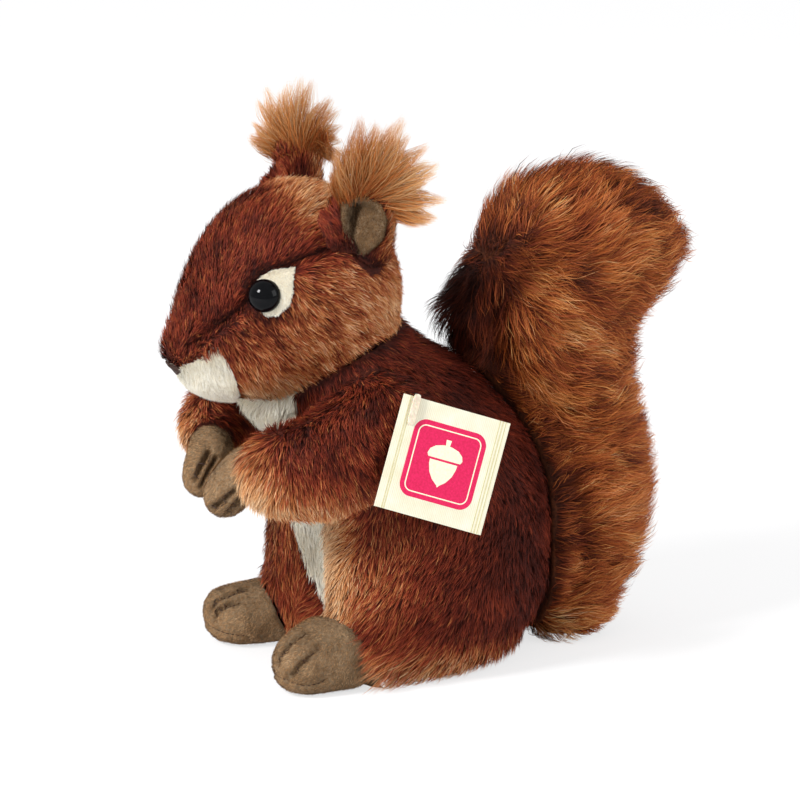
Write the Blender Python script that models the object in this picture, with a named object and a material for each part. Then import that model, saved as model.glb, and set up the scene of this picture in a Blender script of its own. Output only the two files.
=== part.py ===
"""A sitting plush squirrel with a curled tail, tufted ears and a folded card hang tag.

Metres, +Z up. The squirrel faces -Y and its left side is +X. The origin is the centre of
the flat seat under the body, so the body, the feet and the tail rest on the plane Z = 0.
Each soft piece is drawn at the outside of its pile.
"""
import math

import bmesh
import bpy
import numpy as np
from mathutils import Matrix, Vector

MM = 0.001

# Air left between two neighbouring pieces.
GAP = 0.3 * MM

# Body: height, centre in Y, half width and half depth of the level sections, in mm.
BODY_SECTIONS = (
    (0.0, -1.5, 34.0, 31.0),
    (3.0, -1.5, 39.5, 37.0),
    (13.0, -1.5, 45.0, 43.5),
    (30.0, -2.0, 47.5, 46.0),
    (50.0, -2.5, 47.0, 46.0),
    (67.0, -5.0, 44.5, 43.5),
    (82.0, -11.0, 41.0, 40.5),
    (97.0, -20.0, 36.0, 35.5),
    (107.0, -27.0, 31.0, 29.5),
    (114.0, -32.0, 27.0, 26.0),
)
BODY_RINGS = 17
BODY_AROUND = 36

# Haunches: how far each stands out of the body's section, by height, in mm.
HAUNCH_SECTIONS = ((0.0, 5.5), (10.0, 6.0), (30.0, 4.5), (52.0, 2.0), (72.0, 0.0))
HAUNCH_TURN = math.radians(48)
HAUNCH_SPREAD = math.radians(24)

# Groove between the haunches, down the middle of the belly: depth by height, in mm.
GROOVE_SECTIONS = ((0.0, 11.0), (16.0, 13.5), (32.0, 11.0), (50.0, 8.0), (64.0, 3.0), (76.0, 0.0))
GROOVE_SPREAD = math.radians(14)

# White panel from the throat down to the crotch: height and half width, in mm.
PANEL_OUTLINE = ((13.0, 5.0), (38.0, 7.5), (60.0, 10.0), (80.0, 14.0), (92.0, 17.5), (104.0, 19.0))
PANEL_THICKNESS = 2.0 * MM
PANEL_BACK = -20.0 * MM
PANEL_STEPS = 9

# Head: Y, centre height, half width and half height of the upright sections, in mm.
HEAD_SECTIONS = (
    (-8.0, 125.5, 0.0, 0.0),
    (-15.0, 126.0, 20.5, 20.5),
    (-27.0, 127.0, 31.0, 31.5),
    (-42.0, 127.2, 34.5, 34.8),
    (-55.0, 125.5, 32.5, 33.0),
    (-64.0, 122.5, 28.0, 30.0),
    (-71.0, 119.5, 22.5, 26.0),
    (-77.0, 115.5, 17.5, 19.5),
    (-81.5, 112.0, 12.5, 11.5),
    (-85.5, 110.7, 8.5, 6.0),
    (-88.5, 109.2, 0.0, 0.0),
)
HEAD_RINGS = 18
HEAD_AROUND = 32

# White muzzle: a wedge of the head's own shape. Its apex line and its two lower corners (Y, Z).
MUZZLE_APEX = (-77.0 * MM, 115.0 * MM)
MUZZLE_LIP = (-87.0 * MM, 101.4 * MM)
MUZZLE_THROAT = (-63.0 * MM, 88.5 * MM)

# Nose: a pad of stitches under the tip of the snout.
NOSE_CENTRE = (0.0, -85.6 * MM, 105.8 * MM)
NOSE_HALF = (2.9 * MM, 1.9 * MM, 2.0 * MM)
NOSE_AROUND = 12
NOSE_RINGS = 7

# Eyes: turned plastic domes on a shank, held by a washer behind the fabric.
EYE_Y = -63.0 * MM
EYE_TURN = math.radians(20)
EYE_RADIUS = 5.3 * MM
EYE_DOME = 3.6 * MM
EYE_BACK = 0.96
EYE_DOME_TURNS = tuple(math.radians(turn) for turn in (20, 42, 62, 80))
SHANK_RADIUS = 1.5 * MM
SHANK_LENGTH = 9.0 * MM
WASHER_RADIUS = 4.8 * MM
WASHER_THICKNESS = 1.2 * MM
WASHER_DEPTH = 4.0 * MM
EYE_SEGMENTS = 16

# Felt patch behind each eye: half length, half height and shift towards the ear.
PATCH_HALF_LENGTH = 7.6 * MM
PATCH_HALF_HEIGHT = 8.3 * MM
PATCH_SHIFT = 2.8 * MM
PATCH_THICKNESS = 1.2 * MM
PATCH_CORNERS = 16
PATCH_SKEW = 0.10
PATCH_SKEW_TURN = math.radians(70)

# Ears: centre line (X, Y, Z), half width and half thickness, in mm.
EAR_LINE = (
    (25.0, -30.5, 137.0, 9.0, 4.2),
    (27.8, -30.0, 152.0, 11.0, 4.4),
    (29.0, -28.5, 166.5, 8.0, 3.4),
)
EAR_CAP = 5.0 * MM
EAR_SIDE = Vector((0.34, 0.94, 0.0))
LINING_LINE = (
    (29.8, -31.5, 143.5, 7.0, 1.9),
    (31.4, -31.2, 153.5, 8.8, 2.0),
    (32.0, -29.8, 164.0, 6.0, 1.8),
)
LINING_CAP = 4.0 * MM

# Ear tufts: a fan of long hair that leans out, back and up from the ear's edge.
TUFT_ROOT = (28.5 * MM, -28.5 * MM, 162.5 * MM)
TUFT_LEAN = Vector((0.66, 0.32, 0.68))
TUFT_LINE = ((0.0, 6.0, 4.0), (9.0, 11.5, 6.5), (18.0, 16.5, 8.0), (28.5, 15.0, 7.0))
TUFT_CAP = 6.0 * MM

# Round ends of the ears, arms and hands, and the fineness at which their lines are followed.
CAP_RINGS = 4
LINE_STEPS = 60

# Arms and hands: centre line (X, Y, Z), half width and half height, in mm.
ARM_LINE = (
    (31.0, -16.0, 98.0, 13.5, 15.0),
    (38.5, -31.0, 87.0, 14.5, 17.5),
    (38.0, -46.0, 77.5, 14.5, 18.5),
    (31.0, -58.0, 75.0, 13.5, 16.5),
    (22.0, -70.0, 75.0, 11.5, 13.0),
)
ARM_CAP = 10.0 * MM
HAND_LINE = (
    (17.5, -60.5, 76.0, 8.0, 8.5),
    (12.5, -68.5, 67.5, 9.0, 8.5),
    (7.5, -73.5, 56.0, 7.0, 6.5),
)
HAND_CAP = 6.5 * MM
LIMB_SIDE = Vector((0.87, -0.5, 0.0))

# Feet: Y, centre height, half width and half height of the upright sections, in mm.
FOOT_SECTIONS = (
    (-18.0, 8.0, 0.0, 0.0),
    (-22.0, 9.0, 8.5, 8.5),
    (-30.0, 9.7, 12.5, 10.2),
    (-42.0, 9.8, 13.0, 10.4),
    (-54.0, 9.3, 12.0, 9.8),
    (-60.0, 9.6, 7.5, 7.5),
    (-62.5, 9.6, 0.0, 0.0),
)
FOOT_SPACING = 29.0 * MM
FOOT_SPLAY = 0.08
FOOT_MIDDLE = -45.0
SOLE_POWER = 0.55
FOOT_RINGS = 11
FOOT_AROUND = 18

# Tail: height, centre in Y, half width and half depth of the level sections, in mm.
TAIL_SECTIONS = (
    (0.5, 55.0, 15.0, 13.0),
    (4.0, 54.0, 20.5, 17.5),
    (15.0, 55.5, 24.0, 21.0),
    (42.0, 59.5, 26.0, 23.5),
    (66.0, 57.5, 26.0, 23.5),
    (84.0, 52.0, 26.0, 23.5),
    (95.0, 47.0, 26.5, 29.0),
    (106.0, 46.5, 27.5, 35.0),
    (114.0, 49.0, 28.0, 40.0),
    (122.0, 52.5, 28.0, 42.0),
    (130.0, 56.5, 27.5, 39.0),
    (140.0, 57.5, 25.0, 33.0),
    (150.0, 57.5, 19.5, 25.0),
    (156.5, 58.0, 11.5, 14.5),
    (160.0, 58.5, 0.0, 0.0),
)
TAIL_RINGS = 21
TAIL_AROUND = 28

# Hang tag: a square card folded along its left edge, facing outwards over the shoulder.
TAG_SIDE = 37.0 * MM
TAG_SHEET = 0.5 * MM
TAG_OPENING = 1.8 * MM
TAG_CENTRE = (59.5 * MM, -15.8 * MM, 79.8 * MM)
TAG_TURN = math.radians(86)
TAG_RISE = math.radians(12)
TAG_ROLL = math.radians(-20)
TAG_HOLE_RADIUS = 1.3 * MM
TAG_HOLE_INSET = 4.0 * MM

# Fastener: a thin plastic pin through the hole, with a flat bar in front of the card.
PIN_RADIUS = 0.55 * MM
PIN_REACH = 12.0 * MM
PIN_BAR_LENGTH = 10.0 * MM
PIN_BAR_WIDTH = 2.4 * MM
PIN_BAR_THICKNESS = 1.0 * MM
PIN_FRONT = 1.2 * MM
PIN_SEGMENTS = 10
BAR_CORNERS = 16
HOLE_SEGMENTS = 16


def clear_scene():
    """Remove every object of the opened scene."""
    for old in list(bpy.data.objects):
        bpy.data.objects.remove(old, do_unlink=True)


def plain_material(name, colour, roughness, metallic=0.0):
    """A Principled material with one colour."""
    material = bpy.data.materials.new(name)
    material.use_nodes = True
    shader = material.node_tree.nodes["Principled BSDF"]
    shader.inputs["Base Color"].default_value = (*colour, 1.0)
    shader.inputs["Roughness"].default_value = roughness
    shader.inputs["Metallic"].default_value = metallic
    material.diffuse_color = (*colour, 1.0)
    return material


def eased(rows, places):
    """Each column of the rows at the given places of the first column.

    A monotone cubic passes through every row and never swings past one.
    """
    table = np.array(rows, dtype=float)
    stops = table[:, 0]
    places = np.clip(np.asarray(places, dtype=float), stops[0], stops[-1])
    steps = np.diff(stops)
    cell = np.clip(np.searchsorted(stops, places, side="right") - 1, 0, len(stops) - 2)
    share = (places - stops[cell]) / steps[cell]
    columns = []
    for values in table[:, 1:].T:
        rise = np.diff(values) / steps
        slope = np.zeros(len(stops))
        slope[0], slope[-1] = rise[0], rise[-1]
        same_way = rise[:-1] * rise[1:] > 0
        before, after = rise[:-1][same_way], rise[1:][same_way]
        slope[1:-1][same_way] = 2 * before * after / (before + after)
        start, end = values[cell], values[cell + 1]
        columns.append(
            start * (1 + 2 * share) * (1 - share) ** 2
            + end * (3 - 2 * share) * share**2
            + slope[cell] * steps[cell] * share * (1 - share) ** 2
            + slope[cell + 1] * steps[cell] * share**2 * (share - 1)
        )
    return np.array(columns).T


def eased_halves(rows, places, halves):
    """As eased, with the last columns eased as squares, so a form that ends in a point is round."""
    table = np.array(rows, dtype=float)
    table[:, -halves:] **= 2
    values = eased(table, places)
    values[:, -halves:] = np.sqrt(np.maximum(values[:, -halves:], 0.0))
    return values


def spread(first, last, count):
    """Places from first to last that crowd towards both ends."""
    turns = np.linspace(0.0, math.pi, count)
    return first + (last - first) * (1 - np.cos(turns)) / 2


def mesh_object(name, vertices, faces, material=None):
    """A mesh object of the given faces, turned to face outwards."""
    mesh = bpy.data.meshes.new(name)
    mesh.from_pydata([tuple(v) for v in vertices], [], faces)
    shape = bmesh.new()
    shape.from_mesh(mesh)
    bmesh.ops.recalc_face_normals(shape, faces=shape.faces)
    shape.to_mesh(mesh)
    shape.free()
    mesh.shade_smooth()
    if material is not None:
        mesh.materials.append(material)
    result = bpy.data.objects.new(name, mesh)
    bpy.context.collection.objects.link(result)
    return result


def loft(name, rings, material=None):
    """A closed body through the rings; a ring of one point closes its end as a pole."""
    vertices = [point for ring in rings for point in ring]
    around = max(len(ring) for ring in rings)
    starts = np.cumsum([0] + [len(ring) for ring in rings])
    faces = []
    for index in range(len(rings) - 1):
        low, high = starts[index], starts[index + 1]
        for side in range(around):
            after = (side + 1) % around
            if len(rings[index]) == 1:
                faces.append((low, high + side, high + after))
            elif len(rings[index + 1]) == 1:
                faces.append((low + side, high, low + after))
            else:
                faces.append((low + side, high + side, high + after))
                faces.append((low + side, high + after, low + after))
    for index in (0, len(rings) - 1):
        if len(rings[index]) > 1:
            faces.append(tuple(range(starts[index], starts[index] + around)))
    return mesh_object(name, vertices, faces, material)


def turned(name, profile, segments, placing, material=None):
    """A body turned about the Z axis of the placing from (radius, height) points."""
    rings = []
    for radius, height in profile:
        if radius == 0:
            rings.append([placing @ Vector((0, 0, height))])
            continue
        turns = [2 * math.pi * step / segments for step in range(segments)]
        ring = [Vector((radius * math.cos(t), radius * math.sin(t), height)) for t in turns]
        rings.append([placing @ point for point in ring])
    return loft(name, rings, material)


def limb(name, line, side, cap, rings, around, mirror, material=None):
    """A round-ended form along a centre line whose rows end in two half sizes.

    The first half size lies along the side direction, the second across it. The line and the
    side direction are mirrored in X when mirror is -1.
    """
    rows = [(index, *row) for index, row in enumerate(line)]
    steps = np.linspace(0, len(line) - 1, LINE_STEPS)
    path = eased(rows, steps) * MM
    lengths = np.cumsum(np.r_[0, np.linalg.norm(np.diff(path[:, :3], axis=0), axis=1)])
    turns = np.linspace(0, math.pi / 2, CAP_RINGS)
    ends = cap * (1 - np.cos(turns))
    middle = np.linspace(cap, lengths[-1] - cap, rings)[1:-1]
    places = np.r_[ends, middle, lengths[-1] - ends[::-1]]
    factors = np.r_[np.sin(turns), np.ones(len(middle)), np.sin(turns)[::-1]]
    sections = []
    for place, factor in zip(places, factors):
        row = np.array([np.interp(place, lengths, column) for column in path.T])
        ahead = np.array([np.interp(place + cap / 4, lengths, column) for column in path.T[:3]])
        behind = np.array([np.interp(place - cap / 4, lengths, column) for column in path.T[:3]])
        centre = Vector(row[:3])
        along = Vector(ahead - behind).normalized()
        across = (side - along * side.dot(along)).normalized()
        upward = along.cross(across)
        if factor < 1e-6:
            sections.append([Vector((centre.x * mirror, centre.y, centre.z))])
            continue
        ring = []
        for step in range(around):
            turn = 2 * math.pi * step / around
            point = centre + across * (row[3] * factor * math.cos(turn))
            point += upward * (row[4] * factor * math.sin(turn))
            ring.append(Vector((point.x * mirror, point.y, point.z)))
        sections.append(ring)
    return loft(name, sections, material)


def grown(source, distance, name="cutter"):
    """A copy of a form with its surface moved outwards by the distance."""
    shape = bmesh.new()
    shape.from_mesh(source.data)
    shape.normal_update()
    moves = [vertex.normal * distance for vertex in shape.verts]
    for vertex, move in zip(shape.verts, moves):
        vertex.co += move
    mesh = bpy.data.meshes.new(name)
    shape.to_mesh(mesh)
    shape.free()
    result = bpy.data.objects.new(name, mesh)
    bpy.context.collection.objects.link(result)
    return result


def combine(target, other, operation):
    """Apply a Boolean of the other form to the target, and drop the other."""
    modifier = target.modifiers.new("cut", "BOOLEAN")
    modifier.operation = operation
    modifier.solver = "EXACT"
    modifier.object = other
    depsgraph = bpy.context.evaluated_depsgraph_get()
    result = bpy.data.meshes.new_from_object(target.evaluated_get(depsgraph))
    target.modifiers.remove(modifier)
    target.data = result
    bpy.data.objects.remove(other, do_unlink=True)


def carve(target, *neighbours):
    """Cut the target back so that it clears each finished neighbour by the gap."""
    for neighbour in neighbours:
        combine(target, grown(neighbour, GAP), "DIFFERENCE")


def bell(value, centre, width):
    """A smooth bump of height 1 at the centre."""
    return math.exp(-(((value - centre) / width) ** 2))


def body_form(name, material=None):
    """The stuffed body: level sections with two haunches and the groove between them."""
    rings = []
    for height in spread(BODY_SECTIONS[0][0], BODY_SECTIONS[-1][0], BODY_RINGS):
        centre, half_width, half_depth = eased_halves(BODY_SECTIONS, [height], 2)[0]
        haunch = eased(HAUNCH_SECTIONS, [height])[0][0]
        groove = eased(GROOVE_SECTIONS, [height])[0][0]
        ring = []
        for step in range(BODY_AROUND):
            turn = 2 * math.pi * step / BODY_AROUND
            front = math.remainder(turn, 2 * math.pi)
            out = haunch * bell(abs(front), HAUNCH_TURN, HAUNCH_SPREAD)
            out -= groove * bell(front, 0.0, GROOVE_SPREAD)
            x = (half_width + out) * math.sin(turn)
            y = centre - (half_depth + out) * math.cos(turn)
            ring.append(Vector((x, y, height)) * MM)
        rings.append(ring)
    return loft(name, rings, material)


def head_row(y):
    """Centre height, half width and half height of the head's section at Y."""
    return eased_halves(HEAD_SECTIONS[::-1], [y / MM], 2)[0] * MM


def head_point(y, turn):
    """The head's surface point at Y, with the turn counted from +X up towards +Z."""
    centre, half_width, half_height = head_row(y)
    return Vector((half_width * math.cos(turn), y, centre + half_height * math.sin(turn)))


def head_form(name, material=None):
    """The stuffed head: a ball drawn out to a wedge-shaped snout."""
    rings = []
    for y in spread(HEAD_SECTIONS[0][0] * MM, HEAD_SECTIONS[-1][0] * MM, HEAD_RINGS):
        if head_row(y)[1] < 0.01 * MM:
            rings.append([head_point(y, 0.0)])
            continue
        turns = [2 * math.pi * step / HEAD_AROUND for step in range(HEAD_AROUND)]
        rings.append([head_point(y, turn) for turn in turns])
    return loft(name, rings, material)


def eye_placing(mirror):
    """The eye's frame: its origin on the head's surface, +Z out of the head, +X towards the ear."""
    step = 1.0 * MM
    origin = head_point(EYE_Y, EYE_TURN)
    back = head_point(EYE_Y + step, EYE_TURN) - head_point(EYE_Y - step, EYE_TURN)
    rise = head_point(EYE_Y, EYE_TURN + 0.05) - head_point(EYE_Y, EYE_TURN - 0.05)
    outward = rise.cross(back).normalized()
    if outward.x < 0:
        outward = -outward
    rear = (back - outward * back.dot(outward)).normalized()
    up = outward.cross(rear)
    frame = Matrix.Identity(4)
    for column, axis in enumerate((rear, up, outward, origin)):
        frame[0][column], frame[1][column], frame[2][column] = axis
    return Matrix.Diagonal((mirror, 1, 1, 1)) @ frame


def prism(name, outline, depth, placing):
    """A straight bar of the outline's (x, y) points from -depth to +depth along Z."""
    rings = []
    for height in (-depth, depth):
        rings.append([placing @ Vector((x, y, height)) for x, y in outline])
    return loft(name, rings)


def panel_cutter(margin):
    """An upright bar with the white panel's outline, reaching from the belly forwards."""
    heights = np.linspace(PANEL_OUTLINE[0][0], PANEL_OUTLINE[-1][0], PANEL_STEPS)
    halves = eased(PANEL_OUTLINE, heights)[:, 0]
    right = [(half * MM + margin, height * MM) for half, height in zip(halves, heights)]
    right[0] = (right[0][0], right[0][1] - margin)
    right[-1] = (right[-1][0], right[-1][1] + margin)
    left = [(-x, z) for x, z in reversed(right)]
    reach = BODY_SECTIONS[3][3] * MM
    centre = PANEL_BACK - reach
    placing = Matrix.Translation((0, centre, 0)) @ Matrix.Rotation(math.radians(90), 4, "X")
    return prism("panel_cutter", right + left, reach, placing)


def muzzle_cutter(margin):
    """A wedge across the lower front of the head, its faces moved out by the margin."""
    apex = Vector(MUZZLE_APEX)
    lip = Vector(MUZZLE_LIP)
    throat = Vector(MUZZLE_THROAT)
    middle = (apex + lip + throat) / 3
    corners = [apex, lip, Vector((lip.x, throat.y)), throat]
    outline = [corner + (corner - middle).normalized() * margin * 2 for corner in corners]
    across = Matrix(((0, 0, 1, 0), (1, 0, 0, 0), (0, 1, 0, 0), (0, 0, 0, 1)))
    reach = HEAD_SECTIONS[3][2] * MM
    return prism("muzzle_cutter", outline, reach, across)


def build_head(plush, white, thread):
    """The head with its muzzle and nose; the whole head form and the head are returned."""
    form = head_form("head_form")
    head = head_form("head", plush)
    muzzle = head_form("muzzle", white)
    combine(muzzle, muzzle_cutter(0.0), "INTERSECT")
    combine(head, muzzle_cutter(GAP), "DIFFERENCE")
    nose = ball("nose", NOSE_CENTRE, NOSE_HALF, thread)
    carve(head, nose)
    carve(muzzle, nose)
    return form, head


def ball(name, centre, half, material):
    """An ellipsoid of the given centre and half sizes."""
    mesh = bpy.data.meshes.new(name)
    shape = bmesh.new()
    bmesh.ops.create_uvsphere(shape, u_segments=NOSE_AROUND, v_segments=NOSE_RINGS, radius=1.0)
    bmesh.ops.scale(shape, vec=half, verts=shape.verts)
    bmesh.ops.translate(shape, vec=centre, verts=shape.verts)
    shape.to_mesh(mesh)
    shape.free()
    mesh.shade_smooth()
    mesh.materials.append(material)
    result = bpy.data.objects.new(name, mesh)
    bpy.context.collection.objects.link(result)
    return result


def build_eye(side, mirror, form, head, plastic, metal, felt):
    """An eye, its washer and its felt patch, with their seats cut into the head."""
    placing = eye_placing(mirror)
    base = GAP
    dome = [(0.0, base + EYE_DOME)]
    for turn in EYE_DOME_TURNS:
        dome.append((EYE_RADIUS * math.sin(turn), base + EYE_DOME * math.cos(turn)))
    end = -SHANK_LENGTH
    shank = [(EYE_RADIUS * EYE_BACK, base), (SHANK_RADIUS, base), (SHANK_RADIUS, end), (0.0, end)]
    turned(f"eye_{side}", dome + shank, EYE_SEGMENTS, placing, plastic)

    bore = SHANK_RADIUS + GAP
    hole = [(0.0, EYE_DOME), (bore, EYE_DOME), (bore, end - GAP), (0.0, end - GAP)]
    front = -WASHER_DEPTH
    back = front - WASHER_THICKNESS
    disc = [(0.0, front), (WASHER_RADIUS, front), (WASHER_RADIUS, back), (0.0, back)]
    washer = turned(f"eye_washer_{side}", disc, EYE_SEGMENTS, placing, metal)
    combine(washer, turned("hole", hole, EYE_SEGMENTS, placing), "DIFFERENCE")

    room = WASHER_RADIUS + GAP
    socket = [
        (0.0, EYE_DOME),
        (bore, EYE_DOME),
        (bore, front + GAP),
        (room, front + GAP),
        (room, back - GAP),
        (bore, back - GAP),
        (bore, end - GAP),
        (0.0, end - GAP),
    ]
    combine(head, turned("socket", socket, EYE_SEGMENTS, placing), "DIFFERENCE")

    patch = grown(form, 0.0, f"eye_patch_{side}")
    combine(patch, patch_cutter(placing, 0.0), "INTERSECT")
    combine(patch, grown(form, -PATCH_THICKNESS), "DIFFERENCE")
    combine(patch, turned("hole", hole, EYE_SEGMENTS, placing), "DIFFERENCE")
    patch.data.materials.clear()
    patch.data.materials.append(felt)
    seat = patch_cutter(placing, GAP)
    combine(seat, grown(form, -PATCH_THICKNESS - GAP), "DIFFERENCE")
    combine(head, seat, "DIFFERENCE")


def patch_cutter(placing, margin):
    """A straight bar through the head's side with the felt patch's outline."""
    outline = []
    for step in range(PATCH_CORNERS):
        turn = 2 * math.pi * step / PATCH_CORNERS
        reach = 1 + PATCH_SKEW * math.cos(2 * turn - PATCH_SKEW_TURN)
        x = PATCH_SHIFT + (PATCH_HALF_LENGTH * reach + margin) * math.cos(turn)
        outline.append((x, (PATCH_HALF_HEIGHT * reach + margin) * math.sin(turn)))
    return prism("patch_cutter", outline, EYE_RADIUS * 2, placing)


def foot_form(name, mirror, material):
    """A padded foot with a flat sole, turned slightly outwards."""
    rings = []
    for y in spread(FOOT_SECTIONS[0][0], FOOT_SECTIONS[-1][0], FOOT_RINGS):
        centre, half_width, half_height = eased_halves(FOOT_SECTIONS[::-1], [y], 2)[0]
        x = FOOT_SPACING / MM + FOOT_SPLAY * (FOOT_MIDDLE - y)
        if half_width < 0.01:
            rings.append([Vector((x * mirror, y, centre)) * MM])
            continue
        ring = []
        for step in range(FOOT_AROUND):
            turn = 2 * math.pi * step / FOOT_AROUND
            rise = math.sin(turn)
            if rise < 0:
                rise = -(abs(rise) ** SOLE_POWER)
            height = max(0.0, centre + half_height * rise)
            ring.append(Vector(((x + half_width * math.cos(turn)) * mirror, y, height)) * MM)
        rings.append(ring)
    return loft(name, rings, material)


def tail_form(name, material):
    """The stuffed tail: level sections that rise behind the back and swell into the curl."""
    rings = []
    for height in spread(TAIL_SECTIONS[0][0], TAIL_SECTIONS[-1][0], TAIL_RINGS):
        centre, half_width, half_depth = eased_halves(TAIL_SECTIONS, [height], 2)[0]
        if half_width < 0.01:
            rings.append([Vector((0, centre, height)) * MM])
            continue
        ring = []
        for step in range(TAIL_AROUND):
            turn = 2 * math.pi * step / TAIL_AROUND
            point = (half_width * math.sin(turn), centre - half_depth * math.cos(turn), height)
            ring.append(Vector(point) * MM)
        rings.append(ring)
    return loft(name, rings, material)


def build_ear(side, mirror, form, plush, nap, hair):
    """An ear with its lining and its tuft; the ear is cut back to clear the head."""
    ear = limb(f"ear_{side}", EAR_LINE, EAR_SIDE, EAR_CAP, 4, 12, mirror, plush)
    lining = limb(f"ear_lining_{side}", LINING_LINE, EAR_SIDE, LINING_CAP, 4, 12, mirror, nap)
    carve(lining, form)
    carve(ear, form, lining)
    lean = TUFT_LEAN.normalized()
    rows = []
    for reach, wide, thick in TUFT_LINE:
        rows.append((*(Vector(TUFT_ROOT) / MM + lean * reach), wide, thick))
    tuft = limb(f"ear_tuft_{side}", rows, EAR_SIDE, TUFT_CAP, 5, 14, mirror, hair)
    carve(tuft, ear, lining, form)


def tag_placing():
    """The tag's frame: +Z out of the card's face, +Y up the card, its origin in the middle."""
    turn = Matrix.Rotation(TAG_TURN, 4, "Z")
    upright = Matrix.Rotation(math.radians(90), 4, "X")
    tilt = Matrix.Rotation(-TAG_RISE, 4, "X")
    roll = Matrix.Rotation(TAG_ROLL, 4, "Z")
    return Matrix.Translation(TAG_CENTRE) @ turn @ upright @ tilt @ roll


def build_tag(card, plastic):
    """The folded card and the pin that holds it; the pin is returned."""
    placing = tag_placing()
    half = TAG_SIDE / 2
    back = -TAG_SHEET - TAG_OPENING
    fold = [
        (-half, TAG_SHEET / 2),
        (half, TAG_SHEET / 2),
        (half, -TAG_SHEET / 2),
        (-half + TAG_SHEET, -TAG_SHEET / 2),
        (-half + TAG_SHEET, -TAG_SHEET),
        (half, back),
        (half, back - TAG_SHEET),
        (-half, -TAG_SHEET * 2),
    ]
    across = Matrix(((1, 0, 0, 0), (0, 0, 1, 0), (0, 1, 0, 0), (0, 0, 0, 1)))
    tag = prism("hang_tag", fold, half, placing @ across)
    tag.data.materials.append(card)
    corner = Vector((-half + TAG_HOLE_INSET, half - TAG_HOLE_INSET, 0))
    hole_placing = placing @ Matrix.Translation(corner)
    reach = TAG_OPENING + TAG_SHEET * 4
    hole = [(0.0, reach), (TAG_HOLE_RADIUS, reach), (TAG_HOLE_RADIUS, -reach), (0.0, -reach)]
    combine(tag, turned("hole", hole, HOLE_SEGMENTS, hole_placing), "DIFFERENCE")

    front = TAG_SHEET / 2 + PIN_FRONT
    profile = [(0.0, front), (PIN_RADIUS, front), (PIN_RADIUS, -PIN_REACH), (0.0, -PIN_REACH)]
    pin = turned("tag_fastener", profile, PIN_SEGMENTS, hole_placing, plastic)
    bar_outline = []
    for step in range(BAR_CORNERS):
        turn = 2 * math.pi * step / BAR_CORNERS
        x = math.copysign(abs(math.cos(turn)) ** 0.5, math.cos(turn)) * PIN_BAR_WIDTH / 2
        y = math.copysign(abs(math.sin(turn)) ** 0.5, math.sin(turn)) * PIN_BAR_LENGTH / 2
        bar_outline.append((x, y))
    bar_placing = hole_placing @ Matrix.Translation((0, 0, front - GAP))
    bar = prism("bar", bar_outline, PIN_BAR_THICKNESS / 2, bar_placing)
    combine(pin, bar, "UNION")
    pin.data.materials.clear()
    pin.data.materials.append(plastic)
    return pin


def main():
    """Model every piece of the squirrel."""
    clear_scene()
    brown = plain_material("brown_plush", (0.16, 0.045, 0.016), 0.95)
    white = plain_material("white_plush", (0.80, 0.76, 0.66), 0.95)
    taupe = plain_material("taupe_nap", (0.24, 0.16, 0.10), 0.95)
    tail_fur = plain_material("tail_plush", (0.26, 0.085, 0.026), 0.95)
    tuft_hair = plain_material("tuft_hair", (0.62, 0.28, 0.11), 0.90)
    black = plain_material("eye_plastic", (0.006, 0.006, 0.008), 0.06)
    washer = plain_material("washer_plastic", (0.75, 0.75, 0.72), 0.45)
    thread = plain_material("nose_thread", (0.03, 0.02, 0.018), 0.7)
    felt = plain_material("patch_felt", (0.82, 0.77, 0.66), 0.95)
    card = plain_material("tag_card", (0.88, 0.85, 0.74), 0.55)
    clear = plain_material("tag_plastic", (0.80, 0.78, 0.72), 0.35)

    form, head = build_head(brown, white, thread)
    body_shape = body_form("body_shape")
    body = body_form("body", brown)
    panel = body_form("chest_panel", white)
    inner = grown(body_shape, -PANEL_THICKNESS)
    combine(panel, panel_cutter(0.0), "INTERSECT")
    combine(panel, inner, "DIFFERENCE")
    slot = panel_cutter(GAP)
    combine(slot, grown(body_shape, -PANEL_THICKNESS - GAP), "DIFFERENCE")
    combine(body, slot, "DIFFERENCE")
    for piece in (body, panel):
        carve(piece, form)

    for side, mirror in (("left", 1), ("right", -1)):
        build_eye(side, mirror, form, head, black, washer, felt)
        build_ear(side, mirror, form, brown, taupe, tuft_hair)
        hand = limb(f"hand_{side}", HAND_LINE, LIMB_SIDE, HAND_CAP, 4, 14, mirror, taupe)
        arm_shape = limb("arm_shape", ARM_LINE, LIMB_SIDE, ARM_CAP, 7, 16, mirror)
        arm = limb(f"arm_{side}", ARM_LINE, LIMB_SIDE, ARM_CAP, 7, 16, mirror, brown)
        carve(arm, body_shape, form)
        carve(hand, arm_shape, body_shape)
        bpy.data.objects.remove(arm_shape, do_unlink=True)
        foot = foot_form(f"foot_{side}", mirror, taupe)
        carve(foot, body_shape)

    tail = tail_form("tail", tail_fur)
    carve(tail, body_shape)
    pin = build_tag(card, clear)
    carve(bpy.data.objects["arm_left"], pin)

    for helper in (form, body_shape):
        bpy.data.objects.remove(helper, do_unlink=True)


main()
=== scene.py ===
"""Looks of the plush squirrel: pile of real strands on stuffed skins, glossy eyes and a card tag.

Each stuffed piece is a skin, set in from the CAD solid's surface by the depth of its pile, and
the pile itself, built of thin tapering blades. The blades' colours come only from their UV map:
U is a strand's tone, and V runs from root to tip, once for each of two families of colour.
"""

import math
from dataclasses import dataclass

import bmesh
import bpy
import numpy as np
from mathutils import Matrix, Vector
from mathutils.bvhtree import BVHTree


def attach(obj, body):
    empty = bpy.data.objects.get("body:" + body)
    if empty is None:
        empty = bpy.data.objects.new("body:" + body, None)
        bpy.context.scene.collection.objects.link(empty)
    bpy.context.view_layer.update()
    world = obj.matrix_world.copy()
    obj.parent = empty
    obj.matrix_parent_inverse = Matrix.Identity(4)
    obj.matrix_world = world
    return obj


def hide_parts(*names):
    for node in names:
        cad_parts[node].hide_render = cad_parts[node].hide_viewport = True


MM = 0.001

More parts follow.
